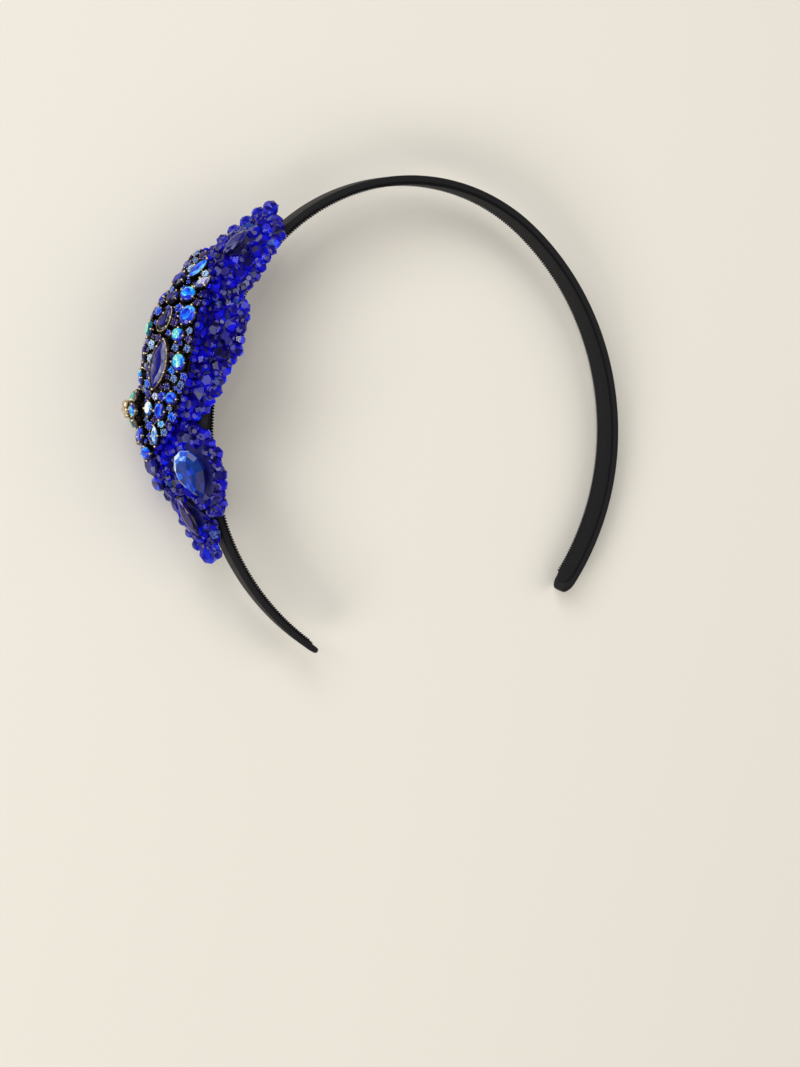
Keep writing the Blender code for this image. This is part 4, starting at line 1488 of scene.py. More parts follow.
@dataclass(frozen=True)
class Setting:
    """The metal round a stone: a cup under the girdle, a bright rim round some stones, and claws.

    Each corner of a ring's section has its offset from the girdle, its height as a share of the stone's
    depth, and what is added to that, in mm.
    """

    cup: tuple[Triple, ...] = ((0.10, 0.0, -1.5), (0.37, 0.52, 0.0), (0.04, 0.52, 0.06), (-0.20, 0.0, -1.5))
    rim: tuple[Triple, ...] = (
        (0.10, 0.0, 0.0), (0.42, 0.30, 0.0), (0.38, 0.74, 0.0), (0.10, 0.74, 0.15), (-0.08, 0.74, -0.05),
    )
    claw_pitch: float = 3.8
    claw_size: float = 0.80
    claw_offset: float = 0.12
    claw_level: float = 0.72
    claw_lean: float = 0.30
    sides: int = 28

    def ring(self, held: SetStone, label: str, section: Sequence[Triple], metal: Metal) -> Object:
        """Build a closed ring that follows a stone's girdle.

        Args:
            held: The stone in its place.
            label: What the ring is.
            section: The ring's section.
            metal: Its metal.

        Returns:
            The ring.
        """
        points: list[Vector] = []
        faces: Faces = []
        count = len(section)
        for side in range(self.sides):
            for offset, share, more in section:
                place = held.stone.reach(side / self.sides, offset)
                points.append(held.at(*place, share * held.depth + more))
            low, high = side * count, (side + 1) % self.sides * count
            for corner in range(count):
                after = (corner + 1) % count
                faces.append((low + corner, high + corner, high + after, low + after))
        return link(f"{held.stone.node}_{label}", solid(points, faces, 40.0), metal)

    def claws(self, held: SetStone) -> list[Spot]:
        """Place the claws round a stone.

        Args:
            held: The stone in its place.

        Returns:
            The claws' spots.
        """
        draw = Random(held.seed)
        line = np.array([held.stone.reach(share / 60, self.claw_offset) for share in range(60)])
        run = float(np.linalg.norm(np.roll(line, -1, axis=0) - line, axis=1).sum())
        count = max(4, 2 * round(run / self.claw_pitch / 2))
        spots = []
        for x, y in evenly_spaced(line, run / count):
            lean = Vector((0.0, 0.0, 1.0)) + Vector((-x, -y, 0.0)).normalized() * self.claw_lean
            turn = lean.to_track_quat("Z", "Y").to_matrix().to_4x4()
            local = Matrix.Translation(Vector((x, y, self.claw_level * held.depth)) * MM) @ turn
            size = self.claw_size * draw.uniform(0.88, 1.12) * MM
            spots.append(Spot(held.seat @ local, (size,) * 3, draw.random()))
        return spots


# The pieces


@dataclass(frozen=True)
class StripShape:
    """A strip that follows the band: its sizes in mm and its tips."""

    half_length: float
    width: float
    top: float
    thickness: float
    edge_round: float
    crown: float
    tip_length: float = 4.5
    tip_blunt: float = 0.42
    stations: int = 250
    tip_stations: int = 12

    def section(self, half_width: float, share: float) -> list[Place]:
        """Find the strip's section.

        Args:
            half_width: Half its width.
            share: The share of the full thickness.

        Returns:
            The section's points in order, as across and height.
        """
        half = self.thickness / 2 * share
        middle = self.top - self.thickness / 2
        radius = min(self.edge_round, half, half_width)
        rows: list[Place] = []
        for quarter, (side, level) in enumerate(((1, 1), (-1, 1), (-1, -1), (1, -1))):
            for step in range(6):
                angle = radians(90.0 * quarter + 18.0 * step)
                across = side * (half_width - radius) + cos(angle) * radius
                height = level * (half - radius) + sin(angle) * radius
                raised = middle + height
                if height > 0.0:
                    raised = raised + self.crown * (1.0 - (across / half_width) ** 2) - self.crown
                rows.append((across, raised))
        return rows

    def mesh(self) -> Mesh:
        """Build the strip's closed mesh, with the way along it and round it stored for its weave.

        Returns:
            The mesh.
        """
        straight = self.half_length - self.tip_length
        even = [straight * (2.0 * step / self.stations - 1.0) for step in range(self.stations + 1)]
        turns = [pi / 2 * (step + 1) / self.tip_stations for step in range(self.tip_stations)]
        ends = [straight + self.tip_length * sin(turn) for turn in turns]
        runs = [-end for end in reversed(ends)] + even + ends
        rings = []
        for along in runs:
            into_tip = max(0.0, abs(along) - straight) / self.tip_length
            round_share = sqrt(max(0.0, 1.0 - min(1.0, into_tip) ** 2))
            half_width = self.width / 2 * (self.tip_blunt + (1.0 - self.tip_blunt) * round_share)
            section = self.section(half_width, 0.45 + 0.55 * round_share)
            rings.append([LINE.point(along, *row) for row in section])
        mesh = closed_tube(rings, 50.0)
        count = len(rings[0])
        store(mesh, "run", [along * MM for along in runs for _ in range(count)])
        store(mesh, "girth", [step / count * 2 * self.width * MM for _ in runs for step in range(count)])
        return mesh


@dataclass(frozen=True)
class HairBand:
    """The satin-covered band and the ribbon that lines it."""

    items: Items
    satin: StripShape = StripShape(LINE.half_length, 11.3, 0.0, 2.34, 0.95, 0.12)
    ribbon: StripShape = StripShape(LINE.half_length - 3.0, 9.8, -2.3, 0.5, 0.2, 0.0)
    picot_pitch: float = 0.9 * MM
    picot_size: float = 0.82 * MM
    picot_margin: float = 3.4
    floor_inset: float = 0.6

    def build(self) -> None:
        """Build the band and its lining."""
        band = link("satin_band", self.satin.mesh(), SatinFinish())
        place_piece(band, "black_satin", "band")
        strip = link("ribbon_strip", self.ribbon.mesh(), RibbonFinish())
        lining = join("ribbon_lining", [strip, self.picot_edge(-1.0), self.picot_edge(1.0)])
        place_piece(lining, "black_ribbon", "band_lining")

    def picot_edge(self, side: float) -> Object:
        """Build the row of tiny teeth along one edge of the ribbon, the rear one clear of the floor.

        Args:
            side: 1 for the front edge, -1 for the rear one.

        Returns:
            The row of teeth.
        """
        reach = self.ribbon.half_length - self.picot_margin
        across = side * (self.ribbon.width / 2 + 0.05 - self.floor_inset * (side < 0.0))
        path, out = [], []
        for step in range(301):
            along = reach * (2.0 * step / 300 - 1.0)
            path.append(LINE.point(along, across, self.ribbon.top - 0.25))
            aside = LINE.point(along, across + side, -0.8) - LINE.point(along, across, 0.0)
            out.append(aside.normalized())
        tooth = self.items.picot, RibbonFinish(), self.picot_pitch, self.picot_size
        return self.items.on_path("picot_edge", path, out, *tooth)


@dataclass(frozen=True)
class FeltBacking:
    """The felt pad between the band and the petals, with its row of stitches."""

    items: Items
    ends: Place = (38.5, 144.5)
    half_seat: float = 5.7
    stitch_inset: float = 1.7
    stitch_pitch: float = 2.6 * MM
    stitch_size: float = 0.9 * MM

    @staticmethod
    def top(along: float, across: float, share_out: float) -> float:
        """Return the height of the pad's upper face."""
        return PETAL_DOME.height(along, across) - PETAL_THICKNESS - GAP - BACKING_SINK

    def bottom(self, along: float, across: float) -> float:
        """Return the height of the pad's underside, just clear of the band."""
        return 0.1 + 0.06 * max(0.0, abs(across) - self.half_seat)

    def build(self) -> None:
        """Build the pad and its stitches."""
        outline = Outline(two_sided(BACKING_SIDE, self.ends, BACKING_REAR_SHARE))
        shape = Pad(outline, self.top, self.bottom)
        pad = link("felt_backing_pad", shape.mesh(120, 36), FeltFinish())
        rows = evenly_spaced(outline.inset(self.stitch_inset), 1.2)
        path = [LINE.point(*row, shape.envelope(*row, -1.0)) for row in rows]
        out = [(LINE.point(*row, -1.0) - LINE.point(*row, 0.0)).normalized() for row in rows]
        stitch = self.items.stitch, RibbonFinish(), self.stitch_pitch, self.stitch_size
        felt = join("felt_backing", [pad, self.items.on_path("felt_stitches", path, out, *stitch)])
        place_piece(felt, "black_felt", "flower_backing")


SEWN_STONES = (
    Stone("petal_top_marquise", 51.6, 5.4, 11.0, 4.6, Glass.SMOKE, Cut.NAVETTE, 8, sunk=1.2),
    Stone("petal_bottom_marquise", 132.6, 5.2, 14.4, 5.0, Glass.VIOLET, Cut.NAVETTE, -8, sunk=1.4),
    Stone(
        "petal_lower_front_pear", 119.0, 13.3, 15.8, 12.4, Glass.MONTANA, Cut.PEAR, 12, sunk=2.2,
        bright=215.0, table=0.42,
    ),
    Stone("petal_lower_back_octagon", 117.8, -4.4, 7.2, 6.8, Glass.DEEP, Cut.OCTAGON, sunk=1.5, lean=30.0),
    Stone(
        "petal_lower_back_baguette", 123.2, -5.4, 5.2, 6.0, Glass.SAPPHIRE, Cut.OCTAGON, sunk=1.5, lean=30.0
    ),
)
BROOCH_STONES = (
    Stone("stone_upper_navette", 63.0, 5.4, 7.6, 3.1, Glass.BRIGHT, Cut.NAVETTE, bright=95.0),
    Stone("stone_pink_navette", 66.2, 9.2, 5.2, 3.2, Glass.RAINBOW_CLEAR, Cut.NAVETTE, -14, table=0.75),
    Stone("stone_ridge_top", 67.6, 1.0, 5.2, 4.3, Glass.SAPPHIRE, table=0.5),
    Stone("stone_cyan_round", 70.6, 7.0, 4.9, 4.9, Glass.CYAN),
    Stone("stone_dark_round", 72.6, 2.2, 4.4, 4.2, Glass.DEEP),
    Stone("stone_blue_oval", 75.9, 10.0, 6.4, 5.2, Glass.BRIGHT),
    Stone("stone_bezel_pear", 78.6, 4.4, 7.8, 4.4, Glass.DEEP, Cut.PEAR, 172),
    Stone("stone_rainbow_round", 81.4, 9.4, 4.2, 4.2, Glass.RAINBOW_BLUE, table=0.84),
    Stone("stone_green_round", 81.8, -1.0, 5.0, 4.6, Glass.EMERALD, table=0.8),
    Stone("stone_long_navette", 90.0, 5.6, 15.6, 5.6, Glass.SMOKE, Cut.NAVETTE, -13, bright=75.0),
    Stone("stone_mint_oval", 88.4, 11.6, 5.4, 4.6, Glass.RAINBOW_BLUE, table=0.92),
    Stone("stone_bright_round", 98.4, 10.9, 4.0, 4.0, Glass.BRIGHT),
    Stone("stone_clear_oval", 102.0, 3.0, 4.6, 3.2, Glass.CLEAR, table=0.95),
    Stone("stone_lower_oval", 102.2, 7.4, 5.2, 3.8, Glass.BRIGHT),
    Stone("stone_clear_navette", 109.0, 5.4, 6.2, 2.4, Glass.CLEAR, Cut.NAVETTE, 10),
    Stone("stone_lower_ridge", 109.2, -0.8, 4.5, 4.2, Glass.BRIGHT),
    Stone("stone_lower_blue", 113.6, 2.2, 4.2, 4.2, Glass.BRIGHT),
    Stone("stone_ridge_oval", 88.0, -3.2, 5.4, 4.8, Glass.SAPPHIRE),
    Stone("stone_ridge_round", 94.2, -3.4, 4.6, 4.4, Glass.RAINBOW_BLUE),
    Stone("stone_rear_top_round", 73.4, -3.6, 4.6, 4.4, Glass.RAINBOW_BLUE),
    Stone("stone_rear_oval", 78.2, -8.0, 6.6, 5.0, Glass.BRIGHT),
    Stone("stone_rear_mint", 84.6, -9.6, 4.8, 4.6, Glass.RAINBOW_BLUE),
    Stone("stone_rear_navette", 91.8, -9.4, 7.4, 3.6, Glass.DEEP, Cut.NAVETTE),
    Stone("stone_rear_round", 97.8, -11.0, 4.2, 4.2, Glass.SAPPHIRE),
    Stone("stone_rear_low_oval", 110.2, -6.6, 4.6, 4.0, Glass.SAPPHIRE),
)
RIMMED_STONES = ("stone_long_navette", "stone_bezel_pear")
SEWN_GIRDLES = [stone.girdle(PETAL_DOME.height) for stone in SEWN_STONES]
BROOCH_GIRDLES = [stone.girdle(BROOCH_DOME.height) for stone in BROOCH_STONES]
PLATE_OUTLINE = Outline(two_sided(PLATE_SIDE, (57.4, 114.6), 1.0))


class Bead(NamedTuple):
    """A bead's place and its radius, in mm."""

    along: float
    across: float
    height: float
    radius: float


@dataclass(frozen=True)
class Petal:
    """A petal: its node, its outline, the strip of its front edge that is left bare and its ridge beads.

    The ridge beads stand higher than the others, each given by along, across and radius.
    """

    node: str
    outline: Outline
    bare_from: float = 1000.0
    bare_width: float = 0.0
    ridge: tuple[Triple, ...] = ()

    def pad(self, sink: float = 0.0, inset: float = 0.0) -> Pad:
        """Return the petal's shape up to the tops of its beads, or a lower and smaller one."""
        return Pad(self.outline, lambda *place: petal_top(*place) - sink, petal_underside, inset)

    def is_bare(self, along: float, across: float) -> bool:
        """Return whether a place is on the strip of cloth that has no beads."""
        near_edge = self.outline.depth(along, across) < self.bare_width
        return along > self.bare_from and across > BARE_SIDE and near_edge


def petal_top(along: float, across: float, share_out: float) -> float:
    """Return the height that the tops of a petal's beads reach."""
    return PETAL_DOME.height(along, across) + PETAL_CROWN * (1.0 - share_out**2)


def petal_underside(along: float, across: float) -> float:
    """Return the height of a petal's underside."""
    return PETAL_DOME.height(along, across) - PETAL_THICKNESS


@dataclass(frozen=True)
class RimString:
    """A string of round beads along a petal's rim: shares of the way round, in mm otherwise."""

    node: str
    outline: Outline
    diameters: tuple[float, ...]
    start: float
    stop: float
    lift: float

    def line(self, offset: float) -> np.ndarray:
        """Return a line that runs along the string, at its height.

        Args:
            offset: The line's distance outside the outline, in mm.

        Returns:
            The line's points as along, across and height.
        """
        samples = []
        steps = len(self.diameters) * 12
        for step in range(steps + 1):
            rim = np.array(self.outline.at(self.start + (self.stop - self.start) * step / steps))
            height = PETAL_DOME.height(*rim) - PETAL_THICKNESS / 2 + self.lift
            outward = (rim - self.outline.middle) / np.linalg.norm(rim - self.outline.middle)
            samples.append((*(rim + outward * offset), height))
        return np.array(samples)


RIDGE_BEADS = (
    (114.6, -2.6, 2.5), (115.4, 0.9, 2.3), (119.6, -0.6, 2.6), (121.0, -2.2, 2.1), (125.6, -2.4, 2.5),
    (127.2, -5.4, 2.3), (128.8, -1.8, 2.2),
)
PETALS = (
    Petal("petal_top", Outline(TOP_PETAL)), Petal("petal_upper_front", Outline(UPPER_PETAL)),
    Petal("petal_upper_back", Outline(mirrored(UPPER_PETAL, REAR_SHARE))),
    Petal("petal_lower_front", Outline(LOWER_PETAL), 108.0, 0.7),
    Petal("petal_lower_back", Outline(mirrored(LOWER_PETAL, REAR_SHARE)), ridge=RIDGE_BEADS),
    Petal("petal_bottom", Outline(BOTTOM_PETAL)),
)
RIM_STRINGS = (
    RimString(
        "petal_top_rim_beads", PETALS[0].outline, (5.4, 5.0, 4.8, 4.8, 4.6, 4.6, 4.4), -0.030, 0.265, 0.6
    ),
    RimString("petal_bottom_rim_beads", PETALS[-1].outline, (4.0, 4.2, 4.6, 6.4, 3.8), 0.215, 0.580, 0.4),
)


@dataclass(frozen=True)
class BeadedPetals:
    """The six petals: a covered base, beads over it and strings of larger beads on two rims.

    Each rim row is given by its inset, its drop and its beads' share of the full size, and each kind of
    bead by the upper end of its share of chance.
    """

    items: Items
    bead: float = 5.4
    row_pitch: float = 4.3
    bead_pitch: float = 4.5
    jitter: float = 0.25
    size_spread: Place = (0.84, 1.08)
    stone_clear: float = 0.36
    gap_clear: float = 0.25
    rim_rows: tuple[Triple, ...] = ((1.25, -2.2, 0.62), (1.10, -0.1, 0.76))
    inner_rows: Place = (4.1, 14.0)
    seed_rows: Place = (2.1, 13.0)
    pale_to: float = 0.05
    cut_to: float = 0.66
    fine_to: float = 0.88
    gap_beads: tuple[tuple[float, int], ...] = ((2.1, 2200), (1.6, 2800), (1.15, 3600))
    gap_squeeze: float = 0.84
    seed_bead: float = 2.4
    seed_pitch: float = 2.5
    ridge_rise: float = 1.4
    holder_bead: float = 2.7
    holder_offset: float = 0.4
    tumble: float = 24.0
    base_inset: float = 0.9
    base_sink: float = 2.7
    stitch_inset: float = 1.6
    stitch_pitch: float = 1.5 * MM
    stitch_size: float = 0.62 * MM

    def build(self) -> None:
        """Build the petals and the rim strings."""
        for number, petal in enumerate(PETALS):
            self.build_petal(petal, Random(100 + number))
        for string in RIM_STRINGS:
            self.build_string(string)

    def build_petal(self, petal: Petal, draw: Random) -> None:
        """Build one petal.

        Args:
            petal: The petal.
            draw: The source of chance.
        """
        base = petal.pad(self.base_sink, self.base_inset).mesh(96, 30)
        parts = [link(petal.node + "_cloth", base, OrganzaFinish())]
        cut, fine, bicones, pale = [], [], [], []
        for bead in self.bead_places(petal, draw):
            spot = self.tumbled(bead, draw)
            chance = draw.random()
            plain = cut if chance < self.cut_to else fine if chance < self.fine_to else bicones
            (pale if chance < self.pale_to else plain).append(spot)
        for along, across, radius in petal.ridge:
            height = petal.pad().envelope(along, across) - radius + self.ridge_rise
            fine.append(self.tumbled(Bead(along, across, height, radius), draw))
        small = [self.tumbled(bead, draw) for bead in self.seed_places(petal, draw)]
        for label, spots, item, glass in (
            ("cut_beads", cut, self.items.round_bead, Glass.BEAD),
            ("fine_beads", fine, self.items.fine_bead, Glass.BEAD),
            ("bicone_beads", bicones, self.items.bicone, Glass.BEAD),
            ("pale_beads", pale, self.items.round_bead, Glass.PALE_BEAD),
            ("seed_beads", small, self.items.seed_bead, Glass.BEAD),
        ):
            if spots:
                parts.append(self.items.on_spots(f"{petal.node}_{label}", spots, item, glass))
        if petal.bare_width:
            parts.append(self.edge_stitches(petal))
        beaded = join(petal.node + "_beaded", parts)
        place_piece(beaded, "cobalt_beading", petal.node)

    def tumbled(self, bead: Bead, draw: Random) -> Spot:
        """Lay a bead with its flat top roughly outwards, and not below the floor.

        Args:
            bead: The bead.
            draw: The source of chance.

        Returns:
            Its spot.
        """
        frame = PETAL_DOME.frame(*bead[:3])
        turn = Matrix.Rotation(draw.uniform(0.0, tau), 4, "Z")
        turn = turn @ Matrix.Rotation(radians(draw.gauss(0.0, self.tumble)), 4, "X")
        turn = turn @ Matrix.Rotation(draw.uniform(0.0, tau), 4, "Z")
        size = bead.radius * MM
        frame.translation.z = max(frame.translation.z, size)
        return Spot(frame @ turn, (size, size, size * draw.uniform(0.85, 1.0)), draw.random())

    @staticmethod
    def is_free(along: float, across: float, clear: float) -> bool:
        """Return whether a place is clear of the sewn stones and not hidden under the brooch."""
        hidden = PLATE_OUTLINE.depth(along, across) > HIDDEN_DEPTH
        return not hidden and all(signed_distance(line, along, across) < -clear for line in SEWN_GIRDLES)

    def bead_places(self, petal: Petal, draw: Random) -> list[Bead]:
        """Place the beads in rows that follow the petal's rim.

        Args:
            petal: The petal.
            draw: The source of chance.

        Returns:
            The beads of the rows, then those in the gaps.
        """
        beads: list[Bead] = []
        rows = list(self.rim_rows)
        depth = self.inner_rows[0]
        while depth < self.inner_rows[1]:
            rows.append((depth, 0.0, 1.0))
            depth += self.row_pitch
        for inset, drop, share in rows:
            line = petal.outline.inset(inset)
            hangs = drop < -1.0
            for along, across in evenly_spaced(line, self.bead_pitch * share) if len(line) > 5 else ():
                along += draw.uniform(-self.jitter, self.jitter)
                across += draw.uniform(-self.jitter, self.jitter)
                radius = self.bead / 2 * share * draw.uniform(*self.size_spread)
                bare = petal.is_bare(along, across) and not hangs
                if bare or not self.is_free(along, across, radius * self.stone_clear):
                    continue
                height = PETAL_DOME.height(along, across) + drop
                if not hangs:
                    height = petal.pad().envelope(along, across) - radius + drop + draw.uniform(-0.35, 0.10)
                beads.append(Bead(along, across, height, radius))
        return beads + self.gap_places(petal, beads, draw)

    def gap_places(self, petal: Petal, placed: Sequence[Bead], draw: Random) -> list[Bead]:
        """Find places for beads in the gaps that the rows leave, larger ones first.

        Args:
            petal: The petal.
            placed: The beads of the rows.
            draw: The source of chance.

        Returns:
            The beads in the gaps.
        """
        low, high = petal.outline.line.min(axis=0), petal.outline.line.max(axis=0)
        taken = np.array([(*(LINE.point(*bead[:3]) / MM), bead.radius) for bead in placed])
        found = []
        largest = self.gap_beads[0][0]
        for radius, attempts in self.gap_beads:
            for _ in range(attempts):
                along, across = draw.uniform(low[0], high[0]), draw.uniform(low[1], high[1])
                if petal.outline.depth(along, across) < radius * 0.6:
                    continue
                envelope = petal.pad().envelope(along, across)
                height = envelope - radius - draw.uniform(0.0, 0.4) - (largest - radius) * 1.1
                centre = np.array(LINE.point(along, across, height)) / MM
                room = self.gap_squeeze * (taken[:, 3] + radius)
                if np.any(np.linalg.norm(taken[:, :3] - centre, axis=1) < room):
                    continue
                if petal.is_bare(along, across) or not self.is_free(along, across, radius * self.gap_clear):
                    continue
                found.append(Bead(along, across, height, radius))
                taken = np.vstack([taken, (*centre, radius)])
        return found

    def seed_places(self, petal: Petal, draw: Random) -> list[Bead]:
        """Place the seed beads that fill the gaps, a little lower than the others.

        Args:
            petal: The petal.
            draw: The source of chance.

        Returns:
            The seed beads.
        """
        beads = []
        radius = self.seed_bead / 2
        depth = self.seed_rows[0]
        while depth < self.seed_rows[1]:
            line = petal.outline.inset(depth)
            for along, across in evenly_spaced(line, self.seed_pitch) if len(line) > 6 else ():
                if petal.is_bare(along, across) or not self.is_free(along, across, 0.5):
                    continue
                height = petal.pad().envelope(along, across) - radius - draw.uniform(0.25, 0.75)
                place = along + draw.uniform(-0.3, 0.3), across + draw.uniform(-0.3, 0.3)
                beads.append(Bead(*place, height, radius))
            depth += self.row_pitch
        return beads

    def edge_stitches(self, petal: Petal) -> Object:
        """Sew the line of stitches along the bare edge.

        Args:
            petal: The petal.

        Returns:
            The stitches.
        """
        rows = [row for row in petal.outline.inset(self.stitch_inset) if petal.is_bare(*row)]
        path = [LINE.point(*row, petal.pad().envelope(*row) - 0.7) for row in rows]
        out = [(LINE.point(*row, 1.0) - LINE.point(*row, 0.0)).normalized() for row in rows]
        stitch = self.items.stitch, Glass.PALE_BEAD, self.stitch_pitch, self.stitch_size
        return self.items.on_path(petal.node + "_stitches", path, out, *stitch)

    def build_string(self, string: RimString) -> None:
        """Build one string of rim beads, held to its petal's outline by small beads.

        Args:
            string: The string.
        """
        line = string.line(string.diameters[0] / 2 - 0.1)
        places = np.array([LINE.point(*row) for row in line]) / MM
        lengths = np.concatenate([[0.0], np.cumsum(np.linalg.norm(np.diff(places, axis=0), axis=1))])
        draw = Random(len(string.diameters))
        spots = []
        total = sum(string.diameters)
        used = 0.0
        for diameter in string.diameters:
            stop = (used + diameter / 2) / total * lengths[-1]
            used += diameter
            place = [float(np.interp(stop, lengths, line[:, axis])) for axis in range(3)]
            spots.append(self.tumbled(Bead(*place, diameter / 2), draw))
        for place in string.line(self.holder_offset)[3::7]:
            spots.append(self.tumbled(Bead(*place, self.holder_bead / 2), draw))
        beads = self.items.on_spots(string.node + "_cut", spots, self.items.fine_bead, Glass.RIM_BEAD)
        place_piece(beads, "cobalt_bead", string.node)


@dataclass(frozen=True)
class SewnStones:
    """The stones sewn on the petals."""

    cutter: StoneCutter = StoneCutter()
    depth_share: float = 0.36
    back_share: float = 0.80

    def build(self) -> None:
        """Build each stone in its pocket between the beads."""
        for number, stone in enumerate(SEWN_STONES):
            top = PETAL_DOME.height(stone.along, stone.across) + PETAL_CROWN
            seat = PETAL_DOME.frame(stone.along, stone.across, top - stone.sunk + GAP)
            seat = seat @ Matrix.Rotation(radians(stone.turn), 4, "Z")
            seat = seat @ Matrix.Rotation(radians(-stone.lean), 4, "X")
            held = SetStone(stone, stone.width * self.depth_share, seat, 300 + number)
            self.cutter.cut(held, self.back_share)


@dataclass(frozen=True)
class SmallStone:
    """A small round stone of the brooch: its place, its size and its glass."""

    along: float
    across: float
    size: float
    glass: Glass


SMALL_STONES = tuple(SmallStone(*row) for row in (
    (58.8, 4.8, 2.6, Glass.CYAN), (71.7, 11.2, 2.2, Glass.PALE_STONE), (79.6, 12.3, 2.2, Glass.PALE_STONE),
    (82.7, 11.2, 2.5, Glass.PALE_STONE), (84.4, 13.1, 2.4, Glass.PALE_STONE),
    (84.9, 9.4, 2.5, Glass.PALE_STONE), (93.1, 10.3, 2.5, Glass.PALE_STONE),
    (92.0, 13.3, 2.5, Glass.SAPPHIRE), (94.3, 12.8, 2.4, Glass.PALE_STONE), (95.5, 8.4, 2.4, Glass.DEEP),
    (98.6, 4.6, 2.4, Glass.RAINBOW_CLEAR), (100.2, 13.3, 2.4, Glass.PALE_STONE),
    (104.5, 11.5, 2.4, Glass.DEEP), (105.6, 7.2, 2.5, Glass.RAINBOW_BLUE),
    (105.4, 4.9, 2.2, Glass.RAINBOW_CLEAR), (111.5, 5.4, 2.2, Glass.RAINBOW_CLEAR),
))
SMALL_GLASSES = (
    Glass.SAPPHIRE, Glass.VIOLET, Glass.PALE_STONE, Glass.SAPPHIRE, Glass.BRIGHT, Glass.DEEP, Glass.CLEAR,
)


